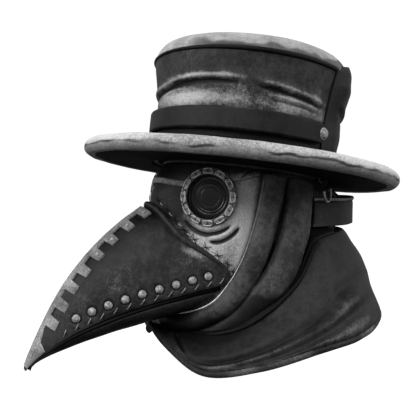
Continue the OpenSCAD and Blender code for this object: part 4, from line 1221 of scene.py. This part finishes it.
def head_strap():
    """The wide strap, with a pale bead and a groove with painted shade along its upper edge."""
    across = np.sin(np.linspace(-math.pi / 2, math.pi / 2, 24))
    t, z = np.meshgrid(np.linspace(STRAP_ENDS, 360 - STRAP_ENDS, 220), across * STRAP_W / 2 - STRAP_W / 2)
    groove = bell(z, -4.6, 0.9)
    z = z + STRAP_Z
    rise = 0.3 * ripple(strap_at(t, z, 0.0), 18, 131) + 1.1 * bell(z, STRAP_Z - 1.6, 1.5) - 0.7 * groove
    outer = strap_at(t, z, rise)
    worn = 0.02 + 0.16 * ripple(outer, 16, 133) + 0.85 * bell(z, STRAP_Z - 1.3, 1.3)
    # Painted shade in the groove; the strap is darker in a band below it.
    make("head_strap_leather", slab(outer, strap_at(t, z, -STRAP_TH)), "strap_leather", "head_strap",
         np.clip(worn, 0, 1), 0.6 * groove + 0.5 * bell(z, STRAP_Z - 8, 3))


def crown_strap():
    """The narrow strap over the top of the head."""
    heights = np.concatenate([np.linspace(2.6, 26, 30), np.linspace(28, 97, 44)])
    centre = eased(CROWN_STRAP, heights)[:, 1]
    share = np.sin(np.linspace(math.pi / 2, -math.pi / 2, 12))

    def line(off):
        p = head(centre, heights, off)
        half = np.minimum(CROWN_STRAP_W / 2, 0.45 * np.hypot(p[:, 0], p[:, 1]))
        across = unit(head(centre + 4, heights, off) - head(centre - 4, heights, off))
        left = p[:, None] + share[None, :, None] * half[:, None, None] * across[:, None]
        return np.concatenate([left, left[::-1] * [-1, 1, 1]])

    worn = np.tile(smoothstep(0.93, 0.99, np.abs(share)), 4 * len(heights))
    make("crown_strap_leather", slab(line(3.0), line(0.9)), "strap_leather", "crown_strap", wear=worn,
         material=MATERIALS["band_leather"])


# ---------- the studio ----------

DOME_LOW, DOME_HIGH, SEEN_WHITE = 0.09, 0.8, 1.05
LAMPS = [("key", (1.0, -1.1, 1.1), 0.8, 20), ("front", (-0.1, -1.7, 0.6), 0.7, 14),
         ("rear", (1.3, 1.2, 0.7), 0.7, 14), ("top", (0.3, 0.1, 1.9), 1.0, 5)]


def studio():
    """A pale floor that the camera sees, a dome of light that fades towards the ground, four soft lamps."""
    floor_z = cad_box[0][2] - 0.05
    bpy.ops.mesh.primitive_circle_add(vertices=96, radius=14, fill_type="NGON", location=(0, 0, floor_z))
    floor = bpy.context.object
    floor.name = "floor"
    n = Nodes("pale_floor")
    floor.data.materials.append(n.shade({
        "Base Color": n.mix(n.span(n.noise(3, 3), 0.3, 0.7), 0.2, 0.23),
        "Roughness": 0.95,
        "Emission Color": (1, 1, 1, 1),
        "Emission Strength": 0.93,
        "Specular IOR Level": 0.1}))
    floor.visible_diffuse = False
    floor.visible_glossy = False
    world = bpy.data.worlds.new("studio")
    world.use_nodes = True
    nodes, link = world.node_tree.nodes, world.node_tree.links.new
    background = nodes["Background"]
    background.inputs["Color"].default_value = (1, 1, 1, 1)
    place = nodes.new("ShaderNodeTexCoord")
    split = nodes.new("ShaderNodeSeparateXYZ")
    fade = nodes.new("ShaderNodeMapRange")
    seen = nodes.new("ShaderNodeLightPath")
    both = nodes.new("ShaderNodeMix")
    fade.interpolation_type = "SMOOTHSTEP"
    for key, number in (("From Min", -0.7), ("From Max", 0.9), ("To Min", DOME_LOW), ("To Max", DOME_HIGH)):
        fade.inputs[key].default_value = number
    both.inputs[3].default_value = SEEN_WHITE
    link(place.outputs["Generated"], split.inputs[0])
    link(split.outputs["Z"], fade.inputs["Value"])
    link(seen.outputs["Is Camera Ray"], both.inputs[0])
    link(fade.outputs[0], both.inputs[2])
    link(both.outputs[0], background.inputs["Strength"])
    bpy.context.scene.world = world
    for name, place, size, power in LAMPS:
        light = bpy.data.lights.new(name, "AREA")
        light.size, light.energy = size, power
        lamp = bpy.data.objects.new(name, light)
        lamp.location = place
        lamp.rotation_euler = (-Vector(place)).to_track_quat("-Z", "Y").to_euler()
        bpy.context.collection.objects.link(lamp)


def camera():
    """The view from the wearer's left, a little ahead of the side and level with the eyes."""
    data = bpy.data.cameras.new("view")
    data.sensor_width, data.lens, data.clip_end = 36, 51.2, 60
    view = bpy.data.objects.new("view", data)
    right = Vector((0.4579, 0.8889, 0.0143)).normalized()
    up = Vector((-0.0338, 0.0013, 0.9994))
    up = (up - up.dot(right) * right).normalized()
    turn = Matrix((right, up, right.cross(up))).transposed().to_4x4()
    view.matrix_world = Matrix.Translation((0.5472, -0.3214, 0.0054)) @ turn
    bpy.context.collection.objects.link(view)
    bpy.context.scene.camera = view


def dress_cad_nodes():
    """Gives each CAD node that stays in view the material of its slot."""
    slots = {part["node"]: part["material_slot"] for part in frame["record"]["subparts"]}
    for node, piece in frame["nodes"].items():
        piece.data.materials.clear()
        piece.data.materials.append(MATERIALS[slots[node]])


camera()
studio()
dress_cad_nodes()
hat_brim()
hat_rim()
hat_crown_front()
hat_crown_back()
hat_crown_tip()
hat_pipings()
hat_band()
hat_studs()
brow_and_face()
for eye_side, eye_name in SIDES:
    eye_cup(eye_side, eye_name)
    eye_ring(eye_side, eye_name)
beak_sides()
ridge_plate()
beak_lip()
lower_beak()
mouth_welt()
beak_stitches()
hood_rolls()
hood_shell()
cape()
head_strap()
crown_strap()

bpy.context.scene.view_settings.view_transform = "Standard"
